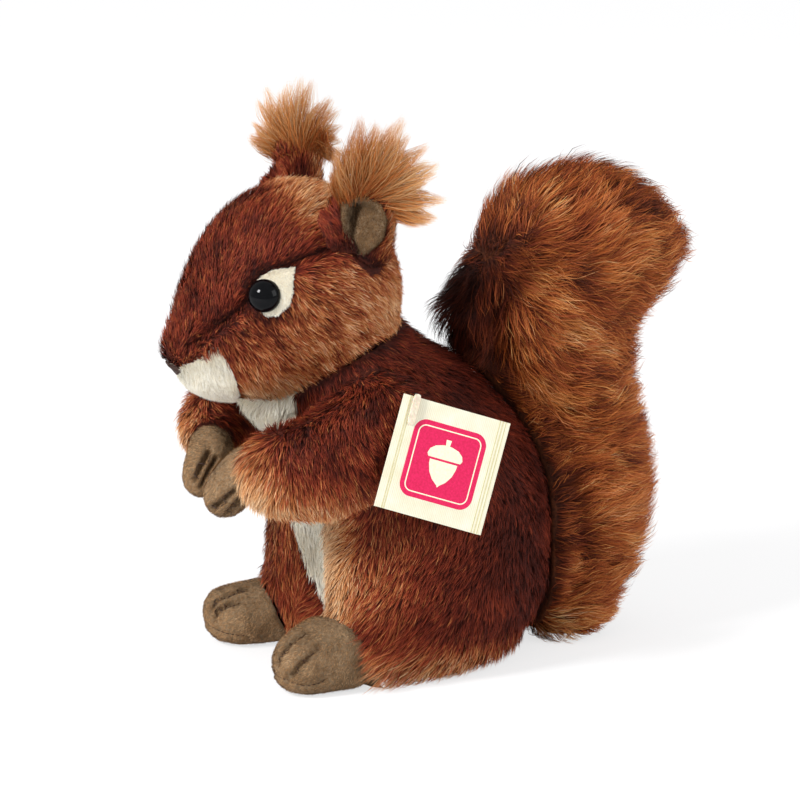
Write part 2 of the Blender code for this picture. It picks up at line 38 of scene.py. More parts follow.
# Camera: the photograph's viewing direction, distance and lens.
CAMERA_AZIMUTH = math.radians(67)
CAMERA_ELEVATION = math.radians(15.5)
CAMERA_DISTANCE = 2.5
CAMERA_LENS = 345
CAMERA_TARGET = Vector((1.8, -6.1, 85.4)) * MM

# Strands: the tone gained from root to tip, the tone that a blade's two edges differ by so that
# its UV area isn't zero, and the least height above the floor.
TIP_RISE = 0.24
TONE_EDGE = 0.004
FLOOR_CLEARANCE = 0.2 * MM

# Skins: the share of its depth that a skin keeps where it meets its neighbours or the floor, and
# the room in mm where that begins and ends.
INSET_LEAST = 0.08
INSET_ROOM = (0.6, 7.0)

# Palettes: each pile's colours at the tone stops, from its darkest strands to its lightest.
TONE_STOPS = (0.0, 0.25, 0.45, 0.62, 0.80, 1.0)
MAHOGANY = ((34, 9, 6), (80, 26, 15), (134, 50, 28), (176, 80, 46), (216, 130, 86), (240, 184, 140))
CHESTNUT = ((52, 18, 9), (112, 44, 22), (174, 84, 42), (210, 124, 70), (232, 168, 112), (246, 208, 164))
HONEY = ((54, 22, 11), (114, 54, 27), (174, 96, 50), (212, 136, 78), (236, 178, 120), (248, 214, 170))
GOLDEN = ((56, 22, 9), (116, 52, 20), (178, 92, 38), (212, 130, 64), (236, 172, 102), (248, 212, 150))
CREAM = (
    (200, 188, 160), (220, 210, 184), (236, 228, 204), (244, 238, 218), (249, 244, 228), (252, 249, 238),
)
IVORY = (
    (208, 190, 158), (226, 210, 180), (240, 226, 198), (247, 236, 212), (250, 242, 222), (252, 247, 232),
)
TAUPE = ((82, 58, 36), (122, 90, 58), (164, 124, 84), (188, 148, 106), (212, 176, 132), (232, 204, 164))
STONE = ((88, 66, 44), (130, 102, 72), (170, 136, 98), (194, 160, 120), (214, 184, 146), (232, 208, 174))
TUFT = ((120, 52, 20), (176, 90, 38), (214, 128, 62), (232, 160, 92), (242, 190, 130), (250, 216, 172))
STRAW = ((134, 84, 44), (180, 124, 70), (214, 162, 104), (232, 190, 138), (242, 212, 168), (248, 230, 200))

# Stuffed nodes of the CAD model, each a neighbour of the others.
STUFFED = (
    "body", "chest_panel", "head", "muzzle", "tail",
    "arm_left", "arm_right", "hand_left", "hand_right", "foot_left", "foot_right",
    "ear_left", "ear_right", "ear_lining_left", "ear_lining_right",
)
SIDES = (("left", 1), ("right", -1))

# Seam of the head, from the lip over the eye to the ear (|X|, Y, Z), in mm, how deep and wide it
# is drawn in, and how far the chin swells.
HEAD_SEAM = (
    (8.8, -84.8, 112.6), (13.1, -80.3, 117.9), (17.6, -75.8, 121.9), (21.1, -71.4, 126.6),
    (23.0, -66.5, 134.0), (23.5, -63.5, 140.5), (28.0, -54.1, 143.2), (28.7, -45.1, 146.0),
    (27.8, -38.0, 148.0),
)
SEAM_DEPTH = 2.6 * MM
SEAM_WIDTH = 1.8 * MM
CHIN_RISE = 2.2 * MM

# Pucker of the tail, where its pile parts and fans out, the seam that runs down from it (Z, Y),
# in mm, the swell of the tail's front, and the slimming of its waist and foot.
PUCKER_HEIGHT = 134.7 * MM
TAIL_SEAM = ((94.0, 21.0), (105.0, 18.7), (120.0, 16.9), (134.7, 19.6))
PUCKER_WIDTH = 7.0 * MM
PUCKER_DEPTH = 5.0 * MM
SWELL_RISE = 3.4 * MM
TAIL_SLIM = 1.8 * MM

# Eyes: the left one's place on the head, the way it faces and the way towards the ear, with the
# dome's offset from that place, its radius, its height and how far it is sunk in.
EYE_PLACE = np.array([26.9, -63.0, 133.3]) * MM
EYE_OUT = np.array([0.768, -0.583, 0.263])
EYE_REAR = np.array([0.457, 0.788, 0.413])
EYE_AXES = np.stack([EYE_REAR, np.cross(EYE_OUT, EYE_REAR), EYE_OUT], axis=1)
EYE_OFFSET = np.array([-1.2, -0.4, -1.2]) * MM
EYE_RADIUS = 5.4 * MM
EYE_DOME = 4.4 * MM
EYE_SUNK = 1.6 * MM
EYE_SEGMENTS = 64

# Side edges of the white panel below the bib: height, far edge and near edge, in mm.
PANEL_EDGES = ((14, 1, 7), (25, -1.5, 7.5), (40, -5, 8), (58, -9, 10.5), (64, -20, 20), (120, -30, 30))

# White felt round the eye: its outline in the eye's frame, towards the ear and up, in mm, and how
# far from the eye's plane it reaches. Above its top the muzzle is brown.
PATCH_OUTLINE = (
    (-0.5, 7.2), (5.7, 6.3), (11.0, 4.9), (9.3, 1.0), (8.0, -2.6), (5.2, -6.2),
    (0.4, -7.8), (-3.6, -6.4), (-4.6, -3.0), (-3.6, 2.0), (-2.6, 5.6),
)
PATCH_REACH = 7.0 * MM
MUZZLE_TOP = 113.6 * MM

# Napped lining of the ear: its outline (Y, Z) and the fold down its middle (Y, Z), in mm, with
# the least |X| of the lining, and how that gives way below a height.
LINING_OUTLINE = (
    (-37.8, 161.0), (-35.6, 163.2), (-31.8, 163.4), (-26.4, 160.4), (-24.0, 154.8), (-25.2, 148.6),
    (-27.8, 145.2), (-30.2, 142.6), (-33.2, 144.0), (-36.0, 147.2), (-37.8, 151.0), (-38.6, 156.6),
)
LINING_FOLD = ((-34.2, 159.0), (-35.4, 153.5), (-36.0, 148.5), (-34.0, 144.0))
LINING_SIDE = 27.0 * MM
LINING_LEAN = 0.4
LINING_LEAN_TOP = 152 * MM
LINING_LEAN_REACH = 8 * MM

# Creases between the toes and between the fingers, for the left and the right paw, and the
# seam round the front of each sole (|X|, Y, Z), in mm.
TOE_LINES = {
    "foot_left": (
        ((31.6, -62.1, 10.9), (32.9, -60.5, 15.2), (32.7, -57.6, 17.8), (31.5, -51.8, 19.2)),
        ((38.1, -59.2, 8.4), (39.4, -57.6, 11.3), (39.6, -54.9, 13.7), (38.5, -50.3, 16.2)),
    ),
    "foot_right": (
        ((27.4, -61.4, 12.4), (27.0, -60.1, 15.4), (25.8, -56.8, 17.6), (25.8, -49.0, 19.2)),
        ((25.5, -61.6, 9.4), (24.6, -60.3, 12.8), (22.9, -58.0, 14.8), (21.4, -53.0, 16.0)),
    ),
    "hand_left": (
        ((13.3, -77.0, 59.1), (16.6, -75.9, 61.6), (18.9, -74.0, 64.0), (20.3, -71.6, 66.6)),
        ((14.5, -72.0, 56.8), (17.5, -71.4, 59.3), (19.6, -69.8, 62.7), (20.6, -67.6, 66.0)),
    ),
    "hand_right": (
        ((5.4, -76.2, 64.4), (5.3, -74.5, 67.6), (5.6, -72.3, 70.6), (6.5, -69.8, 73.5)),
        ((3.7, -74.1, 61.2), (3.0, -72.7, 64.6), (3.5, -70.4, 67.6), (4.7, -67.1, 70.9)),
    ),
}
SOLE_SEAM = (
    (18.4, -52.6, 4.8), (20.1, -56.1, 5.0), (22.9, -59.3, 5.4), (27.0, -61.8, 6.2),
    (31.5, -61.9, 6.2), (35.5, -60.9, 6.2), (37.9, -59.1, 5.6), (40.0, -55.8, 5.0),
    (41.2, -52.1, 5.1), (41.5, -48.1, 6.7),
)

# Depths of the paws' creases and sole seams, with their width, the rise of the near foot's instep,
# the depth of the heels, and how far the skins of the arms and paws are set in.
TOE_DEPTHS = {"foot": 1.7 * MM, "hand": 2.8 * MM}
SOLE_DEPTH = 0.5 * MM
TOE_WIDTH = 1.0 * MM
INSTEP_RISE = 3.2 * MM
HEEL_DEPTH = 3.5 * MM
ARM_DEPTHS = {"left": 2.4 * MM, "right": 3.8 * MM}
PAW_DEPTH = 0.4 * MM
FAR_HAND_DEPTH = 1.7 * MM

# Stitches in those creases: short threads with gaps between them.
STITCH_RADIUS = 0.15 * MM
STITCH_PITCH = 1.8 * MM
STITCH_LENGTH = 1.5 * MM

# Nose: satin stitches laid side to side under the tip of the snout.
NOSE_CENTRE = np.array([0.0, -84.6, 104.6]) * MM
NOSE_ROOM = 3.4 * MM
NOSE_HALF_WIDTH = 4.0 * MM
NOSE_HALF_HEIGHT = 2.0 * MM
NOSE_THREADS = 11
NOSE_THREAD_RADIUS = 0.27 * MM
NOSE_STANDS = 0.9 * MM

# Ear tufts: for each side the root's centre on the ear's rim (|X|, Y, Z), and the fan as rows
# of turn from the back upwards in degrees, reach, and the root's shift back and up, in mm.
TUFT_CENTRES = {
    "left": np.array([29.5, -33.0, 163.6]) * MM,
    "right": np.array([28.5, -31.1, 164.0]) * MM,
}
TUFT_FANS = {
    "left": (
        (-36, 12, 9.5, -6.0), (-20, 19, 9.0, -4.0), (8, 25, 6.0, -1.0), (31, 27, 4.0, 0.5),
        (53, 29, 2.0, 1.0), (77, 32, 0.0, 1.0), (92, 32, -2.0, 0.5), (112, 20, -4.0, 0.0),
        (132, 10, -5.0, -1.0),
    ),
    "right": (
        (-86, 14, 10.0, 5.0), (-70, 17, 9.5, 4.5), (-45, 15, 8.0, 3.0), (-10, 16, 5.0, 2.0),
        (15, 19, 4.0, 1.0), (37, 22, 3.0, 1.0), (60, 25, 1.0, 1.0), (80, 26, 0.0, 1.0),
        (109, 21, -1.0, 0.5), (132, 16, -2.0, 0.0), (157, 13, -3.0, 0.0), (178, 7, -3.0, -1.0),
    ),
}
TUFT_OUT = 0.34
TUFT_STRANDS = 3200
TUFT_LOCK = 16.0

# Directions of the short piles: on the white panel, on the muzzle and felt, and on the paws.
DOWN = (0.0, 0.0, -1.0)
OFF_LIP = (0.0, 0.7, -0.8)
OVER_TOES = (0.0, -0.8, -0.4)

# Hang tag: as in the CAD model, with the print's measures on the card, and the right halves of the
# acorn's nut and cap, in mm.
TAG_SIDE = 37.0 * MM
TAG_SHEET = 0.5 * MM
TAG_CENTRE = (59.5 * MM, -15.8 * MM, 79.8 * MM)
TAG_TURN = math.radians(86)
TAG_RISE = math.radians(12)
TAG_ROLL = math.radians(-20)
INK = 0.04 * MM
EDGE_WIDTH = 0.3 * MM
PRINT_HALF = 12.6 * MM
PRINT_CORNER = 4.2 * MM
FRAME_HALF = 11.0 * MM
FRAME_WIDTH = 0.4 * MM
EDGE_LINES = (-16.4, -15.7, 14.9, 15.9, 16.9)
RIB_PITCH = 0.62 * MM
NUT = ((0.0, -7.6), (0.5, -6.9), (2.4, -5.4), (3.9, -3.2), (4.7, -0.6), (4.8, 0.8))
NUT_CAP = ((5.6, 1.5), (6.1, 2.5), (5.6, 4.0), (4.0, 5.3), (1.6, 6.0), (0.7, 6.1), (0.9, 8.0))


@dataclass
class Coat:
    """How a pile is cut and laid, with lengths in metres.

    A strand leaves the skin by the lift, and its tip is drawn by the pull to the middle of its
    clump, whose size is given. Spread and swirl turn it, wave bends it and jitter varies its
    length. Tones vary by clump_tone from clump to clump and by sparkle from strand to strand.
    """

    count: int
    length: float
    width: float
    lift: float
    clump: float
    pull: float
    seed: int
    spread: float = 0.22
    swirl: float = 0.30
    wave: float = 0.0
    segments: int = 2
    jitter: float = 0.18
    clump_tone: float = 0.05
    sparkle: float = 0.38


@dataclass
class Cloth:
    """A cloth: its slot, and the materials of its backing and of its strands."""

    slot: str
    backing: bpy.types.Material
    fur: bpy.types.Material


@dataclass
class Skin:
    """A skin as arrays: where its vertices are and were before the inset, their room to the
    neighbours, and who owns what.
    """

    mesh: bpy.types.Mesh
    rest: np.ndarray
    vertices: np.ndarray
    normals: np.ndarray
    triangles: np.ndarray
    room: np.ndarray
    owners: np.ndarray
    face_owners: np.ndarray
    owner_of: object


def srgb(red, green, blue):
    """The linear colour of an sRGB colour of 0 to 255."""
    linear = []
    for value in (red, green, blue):
        share = value / 255
        linear.append(share / 12.92 if share <= 0.04045 else ((share + 0.055) / 1.055) ** 2.4)
    return (*linear, 1.0)


def ease(lengths, low, high):
    """A smooth rise of lengths in metres from 0 at low to 1 at high, both in mm."""
    share = np.clip((lengths / MM - low) / (high - low), 0.0, 1.0)
    return share * share * (3 - 2 * share)


def bump(lengths, centre, width):
    """A smooth bump of height 1 at the centre, for lengths in metres, with the others in mm."""
    return np.exp(-(((lengths / MM - centre) / width) ** 2))


def unit(vectors):
    """The vectors at length 1."""
    return vectors / np.maximum(np.linalg.norm(vectors, axis=-1, keepdims=True), 1e-12)


def wave_noise(points, scale, seed, waves=14):
    """Smooth noise of about -1 to 1 at the points, with features of the scale."""
    rng = np.random.default_rng(seed)
    headings = unit(rng.normal(size=(waves, 3)))
    wavelengths = scale * rng.uniform(0.8, 2.2, size=waves)
    phases = rng.uniform(0, 2 * math.pi, size=waves)
    turns = points @ (headings * (2 * math.pi / wavelengths)[:, None]).T + phases
    return np.sin(turns).sum(axis=1) / math.sqrt(waves)


def mesh_object(name, mesh):
    """An object of the mesh in the scene."""
    piece = bpy.data.objects.new(name, mesh)
    bpy.context.scene.collection.objects.link(piece)
    return piece


def node_faces(names):
    """The vertices and faces of CAD nodes, together."""
    vertices, faces = [], []
    for name in names:
        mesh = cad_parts[name].data
        start = len(vertices)
        vertices += [vertex.co.copy() for vertex in mesh.vertices]
        faces += [[start + index for index in polygon.vertices] for polygon in mesh.polygons]
    return vertices, faces


def tree_of(names):
    """A search tree of CAD nodes' surfaces."""
    return BVHTree.FromPolygons(*node_faces(names))


def distances(tree, points):
    """How far each point is from the tree's surface."""
    return np.array([tree.find_nearest(Vector(point))[3] for point in points])


def folded(points):
    """The points, with those of the right side mirrored to the left."""
    return np.abs(points * (1, 0, 0)) + points * (0, 1, 1)


def directions(*columns):
    """Directions from their X, Y and Z, each a number or an array."""
    return np.stack(np.broadcast_arrays(*columns), axis=1)


def line_distances(points, line):
    """How far each point is from a line of points, in the plane or in space."""
    best = np.full(len(points), np.inf)
    for start, end in zip(line[:-1], line[1:]):
        along = end - start
        share = np.clip(((points - start) @ along) / (along @ along), 0.0, 1.0)
        best = np.minimum(best, np.linalg.norm(points - start - share[:, None] * along, axis=1))
    return best


def remeshed(names, voxel, smoothing):
    """One closed, smoothed mesh round the given CAD nodes."""
    vertices, faces = node_faces(names)
    mesh = bpy.data.meshes.new("work")
    mesh.from_pydata(vertices, [], faces)
    work = mesh_object("work", mesh)
    remesh = work.modifiers.new("remesh", "REMESH")
    remesh.mode = "VOXEL"
    remesh.voxel_size = voxel
    smooth = work.modifiers.new("smooth", "SMOOTH")
    smooth.iterations = smoothing
    depsgraph = bpy.context.evaluated_depsgraph_get()
    result = bpy.data.meshes.new_from_object(work.evaluated_get(depsgraph))
    bpy.data.objects.remove(work, do_unlink=True)
    return result


def largest_shell(mesh):
    """Keep only the mesh's largest connected part."""
    shape = bmesh.new()
    shape.from_mesh(mesh)
    left = set(shape.verts)
    shells = []
    while left:
        start = left.pop()
        shell, edge = [start], [start]
        while edge:
            vertex = edge.pop()
            for link in vertex.link_edges:
                other = link.other_vert(vertex)
                if other in left:
                    left.remove(other)
                    shell.append(other)
                    edge.append(other)
        shells.append(shell)
    shells.sort(key=len)
    for shell in shells[:-1]:
        bmesh.ops.delete(shape, geom=shell, context="VERTS")
    shape.to_mesh(mesh)
    shape.free()


def read_vertices(mesh):
    """A mesh's vertices and vertex normals as arrays."""
    count = len(mesh.vertices)
    vertices = np.empty(count * 3)
    mesh.vertices.foreach_get("co", vertices)
    normals = np.empty(count * 3)
    mesh.vertices.foreach_get("normal", normals)
    return vertices.reshape(-1, 3), normals.reshape(-1, 3)


def inside(points, outline):
    """Whether each 2D point is inside the closed outline."""
    result = np.zeros(len(points), dtype=bool)
    for (x0, y0), (x1, y1) in zip(outline, np.roll(outline, -1, axis=0)):
        spans = (y0 > points[:, 1]) != (y1 > points[:, 1])
        crossing = x0 + (points[:, 1] - y0) * (x1 - x0) / (y1 - y0 + 1e-15)
        result ^= spans & (points[:, 0] < crossing)
    return result


def nearest_of(names):
    """A function that gives the nearest of the nodes to each point, as its index."""
    trees = [tree_of([name]) for name in names]

    def owner_of(points):
        return np.argmin([distances(tree, points) for tree in trees], axis=0)

    return owner_of


def single_owner(points):
    """The same owner everywhere."""
    return np.zeros(len(points), dtype=np.int64)


def stuffed_skin(nodes, voxel, depths, owner_of=single_owner, smoothing=3, crease=None, floor=True):
    """The skin of one stuffed form that the nodes share, set in by each owner's depth.

    It is set in less where it meets another stuffed node or the floor. The crease, where given,
    returns how much further in each point of each owner lies.
    """
    mesh = remeshed(nodes, voxel, smoothing)
    largest_shell(mesh)
    rest, normals = read_vertices(mesh)
    room = distances(tree_of([name for name in STUFFED if name not in nodes]), rest)
    if floor:
        room = np.minimum(room, rest[:, 2])
    owners = owner_of(rest)
    inset = np.array(depths)[owners] * (INSET_LEAST + (1 - INSET_LEAST) * ease(room, *INSET_ROOM))
    if crease is not None:
        inset = inset + crease(rest, owners)
    centres = np.array([polygon.center for polygon in mesh.polygons])
    face_owners = owner_of(centres)
    vertices = rest - normals * inset[:, None]
    if floor:
        vertices[:, 2] = np.maximum(vertices[:, 2], 0)
    mesh.vertices.foreach_set("co", vertices.ravel())
    mesh.update()
    mesh.shade_smooth()
    vertices, normals = read_vertices(mesh)
    mesh.calc_loop_triangles()
    triangles = np.empty(len(mesh.loop_triangles) * 3, dtype=np.int64)
    mesh.loop_triangles.foreach_get("vertices", triangles)
    triangles = triangles.reshape(-1, 3)
    return Skin(mesh, rest, vertices, normals, triangles, room, owners, face_owners, owner_of)


def skin_piece(name, skin, owner, material):
    """An object of the skin's faces that belong to the owner."""
    mesh = skin.mesh.copy()
    shape = bmesh.new()
    shape.from_mesh(mesh)
    strangers = [face for face in shape.faces if skin.face_owners[face.index] != owner]
    bmesh.ops.delete(shape, geom=strangers, context="FACES")
    shape.to_mesh(mesh)
    shape.free()
    mesh.shade_smooth()
    mesh.materials.append(material)
    return mesh_object(name, mesh)


def scatter(skin, owner, count, weight, rng):
    """Roots spread over the owner's part of the skin.

    Returns their places, the places on the sewn form that they were set in from, their normals
    and their room.
    """
    corners = skin.vertices[skin.triangles]
    outer = skin.rest[skin.triangles]
    sides = np.cross(corners[:, 1] - corners[:, 0], corners[:, 2] - corners[:, 0])
    room = skin.room[skin.triangles]
    owned = (skin.owners[skin.triangles] == owner).any(axis=1)
    open_air = room.min(axis=1) > 0.9 * MM
    shares = np.linalg.norm(sides, axis=1) * open_air * owned * weight(outer.mean(axis=1))
    tries = count * 2
    chosen = rng.choice(len(shares), size=tries, p=shares / shares.sum())
    first, second = rng.random(tries), rng.random(tries)
    over = first + second > 1
    first[over], second[over] = 1 - first[over], 1 - second[over]
    mix = np.stack([1 - first - second, first, second], axis=1)[:, :, None]
    roots = (corners[chosen] * mix).sum(axis=1)
    origins = (outer[chosen] * mix).sum(axis=1)
    kept = np.flatnonzero(skin.owner_of(origins) == owner)[:count]
    normals = unit((skin.normals[skin.triangles[chosen[kept]]] * mix[kept]).sum(axis=1))
    return roots[kept], origins[kept], normals, (room[chosen[kept]] * mix[kept, :, 0]).sum(axis=1)


def laid(normals, wanted, roots, coat, rng):
    """The wanted directions turned into the skin, with a slow swirl and each strand's own turn."""
    flow = wanted - normals * (wanted * normals).sum(axis=1, keepdims=True)
    flow = unit(flow + normals * 1e-6)
    across = np.cross(normals, flow)
    turn = coat.swirl * wave_noise(roots, 14 * MM, coat.seed + 11)
    turn = turn + rng.normal(scale=coat.spread, size=len(roots))
    return flow * np.cos(turn)[:, None] + across * np.sin(turn)[:, None]


def clump_cells(roots, size, seed):
    """A number for each root's clump, from a warped grid."""
    warp = np.stack([wave_noise(roots, size * 3, seed + axis) for axis in range(3)], axis=1)
    cells = np.floor((roots + warp * size * 0.7) / size).astype(np.int64)
    return np.unique(cells, axis=0, return_inverse=True)[1].ravel()


def cell_means(cells, values):
    """Each root's own cell's mean of the values."""
    counts = np.maximum(np.bincount(cells), 1)
    columns = [np.bincount(cells, weights=column) / counts for column in values.T]
    return np.stack(columns, axis=1)[cells]


def strand_lines(roots, normals, flows, lengths, coat, rng, cells):
    """The middle line of each strand, as points from root to tip, drawn into its clump."""
    stations = np.linspace(0, 1, coat.segments + 1)
    lift = coat.lift * rng.normal(1.0, 0.22, size=len(roots))[:, None]
    rise = lift * (1 - (1 - stations) ** 1.8)
    reach = stations * np.sqrt(np.maximum(1 - lift**2, 0.1))
    lines = roots[:, None] + lengths[:, None, None] * (
        flows[:, None] * reach[..., None] + normals[:, None] * rise[..., None]
    )
    if coat.wave:
        side = np.cross(normals, flows)
        phase = rng.uniform(0, 2 * math.pi, size=(len(roots), 1))
        sway = coat.wave * np.sin(stations * 2 * math.pi * 0.9 + phase) * stations
        lines += side[:, None] * (lengths[:, None] * sway)[..., None]
    drift = cell_means(cells, lines[:, -1]) - lines[:, -1]
    lines += drift[:, None] * (coat.pull * stations**1.5)[None, :, None]
    lines[..., 2] = np.maximum(lines[..., 2], FLOOR_CLEARANCE)
    return lines


def blade_mesh(name, lines, normals, widths, tones, families, rng):
    """A mesh of one tapering blade for each line, with its tone and family in the UV map."""
    count, stations = lines.shape[:2]
    segments = stations - 1
    tangents = unit(np.gradient(lines, axis=1))
    across = unit(np.cross(tangents, normals[:, None]))
    up = np.cross(across, tangents)
    twist = rng.normal(scale=0.45, size=(count, 1, 1))
    across = across * np.cos(twist) + up * np.sin(twist)
    places = np.arange(segments) / segments
    taper = 0.5 * (1 - 0.55 * places**1.5)
    half = across[:, :-1] * (widths[:, None] * taper)[..., None]
    sides = np.stack([lines[:, :-1] - half, lines[:, :-1] + half], axis=2)
    points = np.concatenate([sides.reshape(count, -1, 3), lines[:, -1:]], axis=1)

    own = 2 * segments + 1
    triangles = []
    for index in range(segments - 1):
        low = 2 * index
        triangles += [(low, low + 1, low + 3), (low, low + 3, low + 2)]
    triangles.append((own - 3, own - 2, own - 1))
    corners = (np.arange(count)[:, None, None] * own + np.array(triangles)).reshape(-1)

    lean = across * 0.45
    shade = np.stack([normals[:, None] - lean, normals[:, None] + lean], axis=2)
    shade = np.concatenate([shade[:, :-1].reshape(count, -1, 3), normals[:, None]], axis=1)
    shade = unit(shade + rng.normal(scale=0.16, size=(count, 1, 3)))

    tone = np.repeat(np.clip(tones, 0.02, 0.98)[:, None], own, axis=1)
    tone[:, 0:-1:2] -= TONE_EDGE
    tone[:, 1:-1:2] += TONE_EDGE
    reached = np.concatenate([np.repeat(places, 2), [1.0]])
    height = families[:, None] * 0.5 + 0.005 + 0.49 * reached
    uv = np.stack([tone, np.broadcast_to(height, tone.shape)], axis=2).reshape(-1, 2)

    mesh = bpy.data.meshes.new(name)
    mesh.vertices.add(count * own)
    mesh.vertices.foreach_set("co", points.ravel())
    mesh.loops.add(len(corners))
    mesh.loops.foreach_set("vertex_index", corners)
    mesh.polygons.add(len(corners) // 3)
    mesh.polygons.foreach_set("loop_start", np.arange(0, len(corners), 3))
    layer = mesh.uv_layers.new(name="OFBake")
    layer.data.foreach_set("uv", uv[corners].ravel())
    mesh.update(calc_edges=True)
    mesh.shade_smooth()
    mesh.normals_split_custom_set_from_vertices(shade.reshape(-1, 3))
    return mesh


def plain_weight(points):
    """The same density everywhere."""
    return np.ones(len(points))


def grow(name, skin, coat, flow, look, material, owner=0, weight=plain_weight):
    """A pile of strands on the owner's part of the skin.

    For places on the sewn form, the flow gives the direction, the weight the density, and the
    look the tone, the share of the light family of colours and a factor for the length.
    """
    rng = np.random.default_rng(coat.seed)
    roots, origins, normals, room = scatter(skin, owner, coat.count, weight, rng)
    count = len(roots)
    flows = laid(normals, flow(origins), roots, coat, rng)
    tone, golden, factor = look(origins)
    openness_and_shade = 0.35 + 0.65 * ease(room, 0.5, coat.length * 0.8 / MM)
    spread = rng.normal(1.0, coat.jitter, size=count).clip(0.4, 1.5)
    lengths = coat.length * factor * openness_and_shade * spread
    cells = clump_cells(roots, coat.clump, coat.seed + 40)
    lines = strand_lines(roots, normals, flows, lengths, coat, rng, cells)
    widths = coat.width * rng.uniform(0.75, 1.3, size=count)
    cell_tones = rng.normal(scale=coat.clump_tone, size=cells.max() + 1)
    sparkle = coat.sparkle * np.clip(0.35 + 1.1 * golden, 0, 1)
    bright = np.where(rng.random(count) < 0.30, rng.uniform(0.1, 1.0, count) * sparkle, 0.0)
    dark = np.where(rng.random(count) < 0.22, rng.uniform(0.1, 0.6, count) * sparkle, 0.0)
    tones = tone + cell_tones[cells] + bright - dark + rng.normal(scale=0.04, size=count)
    # Painted shade: strands darkened where the skin has little room to a neighbour or the floor, in the
    # creases between parts.
    tones = tones - 0.16 * (1 - openness_and_shade)
    families = (rng.random(count) < golden).astype(float)
    mesh = blade_mesh(name, lines, normals, widths, tones, families, rng)
    mesh.materials.append(material)
    return mesh_object(name, mesh)


def node(tree, kind, inputs=None, **settings):
    """A new shader node with its settings, and its inputs set or linked."""
    made = tree.nodes.new("ShaderNode" + kind)
    for key, value in settings.items():
        setattr(made, key, value)
    for key, value in (inputs or {}).items():
        if isinstance(value, bpy.types.NodeSocket):
            tree.links.new(value, made.inputs[key])
        else:
            made.inputs[key].default_value = value
    return made


def math_node(tree, operation, *values):
    """The value that a Math node makes of the values."""
    return node(tree, "Math", dict(enumerate(values)), operation=operation).outputs[0]


def ramp(tree, factor, stops):
    """The colour of a ramp through (position, colour) stops."""
    made = node(tree, "ValToRGB", {"Fac": factor})
    elements = made.color_ramp.elements
    elements.remove(elements[-1])
    elements[0].position, elements[0].color = stops[0]
    for position, colour in stops[1:]:
        elements.new(position).color = colour
    return made.outputs["Color"]


def mixed(tree, factor, first, second, blend="MIX"):
    """The colour that a Mix node makes of two colours."""
    made = node(tree, "Mix", data_type="RGBA", blend_type=blend)
    for key, value in ((0, factor), (6, first), (7, second)):
        if isinstance(value, bpy.types.NodeSocket):
            tree.links.new(value, made.inputs[key])
        else:
            made.inputs[key].default_value = value
    return made.outputs[2]


def noise(tree, coordinates, scale, detail=3.0, roughness=0.55):
    """The value of a noise texture whose features are 1 / scale metres wide."""
    inputs = {"Vector": coordinates, "Scale": scale, "Detail": detail, "Roughness": roughness}
    return node(tree, "TexNoise", inputs).outputs["Fac"]


def new_material(name, roughness, specular=0.5):
    """A material with its tree and its Principled shader."""
    material = bpy.data.materials.new(name)
    material.use_nodes = True
    tree = material.node_tree
    shader = tree.nodes["Principled BSDF"]
    shader.inputs["Roughness"].default_value = roughness
    shader.inputs["Specular IOR Level"].default_value = specular
    return material, tree, shader


def object_coordinates(tree):
    """The place on the object, in metres."""
    return node(tree, "TexCoord").outputs["Object"]


def add_bump(tree, shader, height, strength, distance):
    """Raise the shader's surface by the height."""
    inputs = {"Height": height, "Strength": strength, "Distance": distance}
    made = node(tree, "Bump", inputs)
    tree.links.new(made.outputs["Normal"], shader.inputs["Normal"])


def fur_material(name, families, root_colour_and_shade, roughness=0.62):
    """Strands coloured by their UV map: tone along U, root to tip along V, in two families."""
    material, tree, shader = new_material(name, roughness, 0.16)
    axes = node(tree, "SeparateXYZ", {0: node(tree, "UVMap", uv_map="OFBake").outputs[0]})
    height = axes.outputs["Y"]
    along = math_node(tree, "FRACT", math_node(tree, "MULTIPLY", height, 2.0))
    light = math_node(tree, "GREATER_THAN", height, 0.5)
    rise = math_node(tree, "MULTIPLY_ADD", along, TIP_RISE, -TIP_RISE / 2)
    tone = math_node(tree, "ADD", axes.outputs["X"], rise)
    first, second = (
        ramp(tree, tone, list(zip(TONE_STOPS, [srgb(*colour) for colour in family])))
        for family in families
    )
    colour = mixed(tree, light, first, second)
    # Painted shade: each strand darkens towards its root, partly the cloth's own darker roots and partly
    # the shade deep in the pile.
    middle = tuple(0.45 + 0.55 * value for value in root_colour_and_shade)
    stops = [(0.0, (*root_colour_and_shade, 1)), (0.5, (*middle, 1)), (1.0, (1, 1, 1, 1))]
    shade = ramp(tree, along, stops)
    tree.links.new(mixed(tree, 1.0, colour, shade, "MULTIPLY"), shader.inputs["Base Color"])
    return material


def backing_material(name, dark, light, grain=900.0):
    """The short dense undercoat below the strands."""
    material, tree, shader = new_material(name, 0.85, 0.2)
    where = object_coordinates(tree)
    fine = noise(tree, where, grain)
    broad = noise(tree, where, grain / 9)
    blend = math_node(tree, "MULTIPLY", fine, broad)
    colour = ramp(tree, blend, [(0.12, srgb(*dark)), (0.42, srgb(*light))])
    tree.links.new(colour, shader.inputs["Base Color"])
    add_bump(tree, shader, fine, 0.6, 0.5 * MM)
    return material


def above_seam(points):
    """How far each point of the head lies above its seam."""
    line = np.array(HEAD_SEAM) * MM
    return points[:, 2] - np.interp(points[:, 1], line[:, 1], line[:, 2])


def seam_distances(points):
    """How far each point is from the head's seam on its side."""
    return line_distances(folded(points), np.array(HEAD_SEAM) * MM)


def head_flow(points):
    """From the snout up and backwards, and down over the cheeks below the seam."""
    x, y = points[:, 0], points[:, 1]
    side = ease(np.abs(x), 9, 16)
    cheek = side * (1 - ease(above_seam(points), -4, 0.5))
    steep = 1 - ease(y, -72, -46)
    back = (1.0 - 0.35 * steep) * (1 - cheek) + 0.80 * cheek
    up = (0.55 + 0.50 * steep) * (1 - cheek) - 0.75 * cheek
    return directions(0.0, back, up)


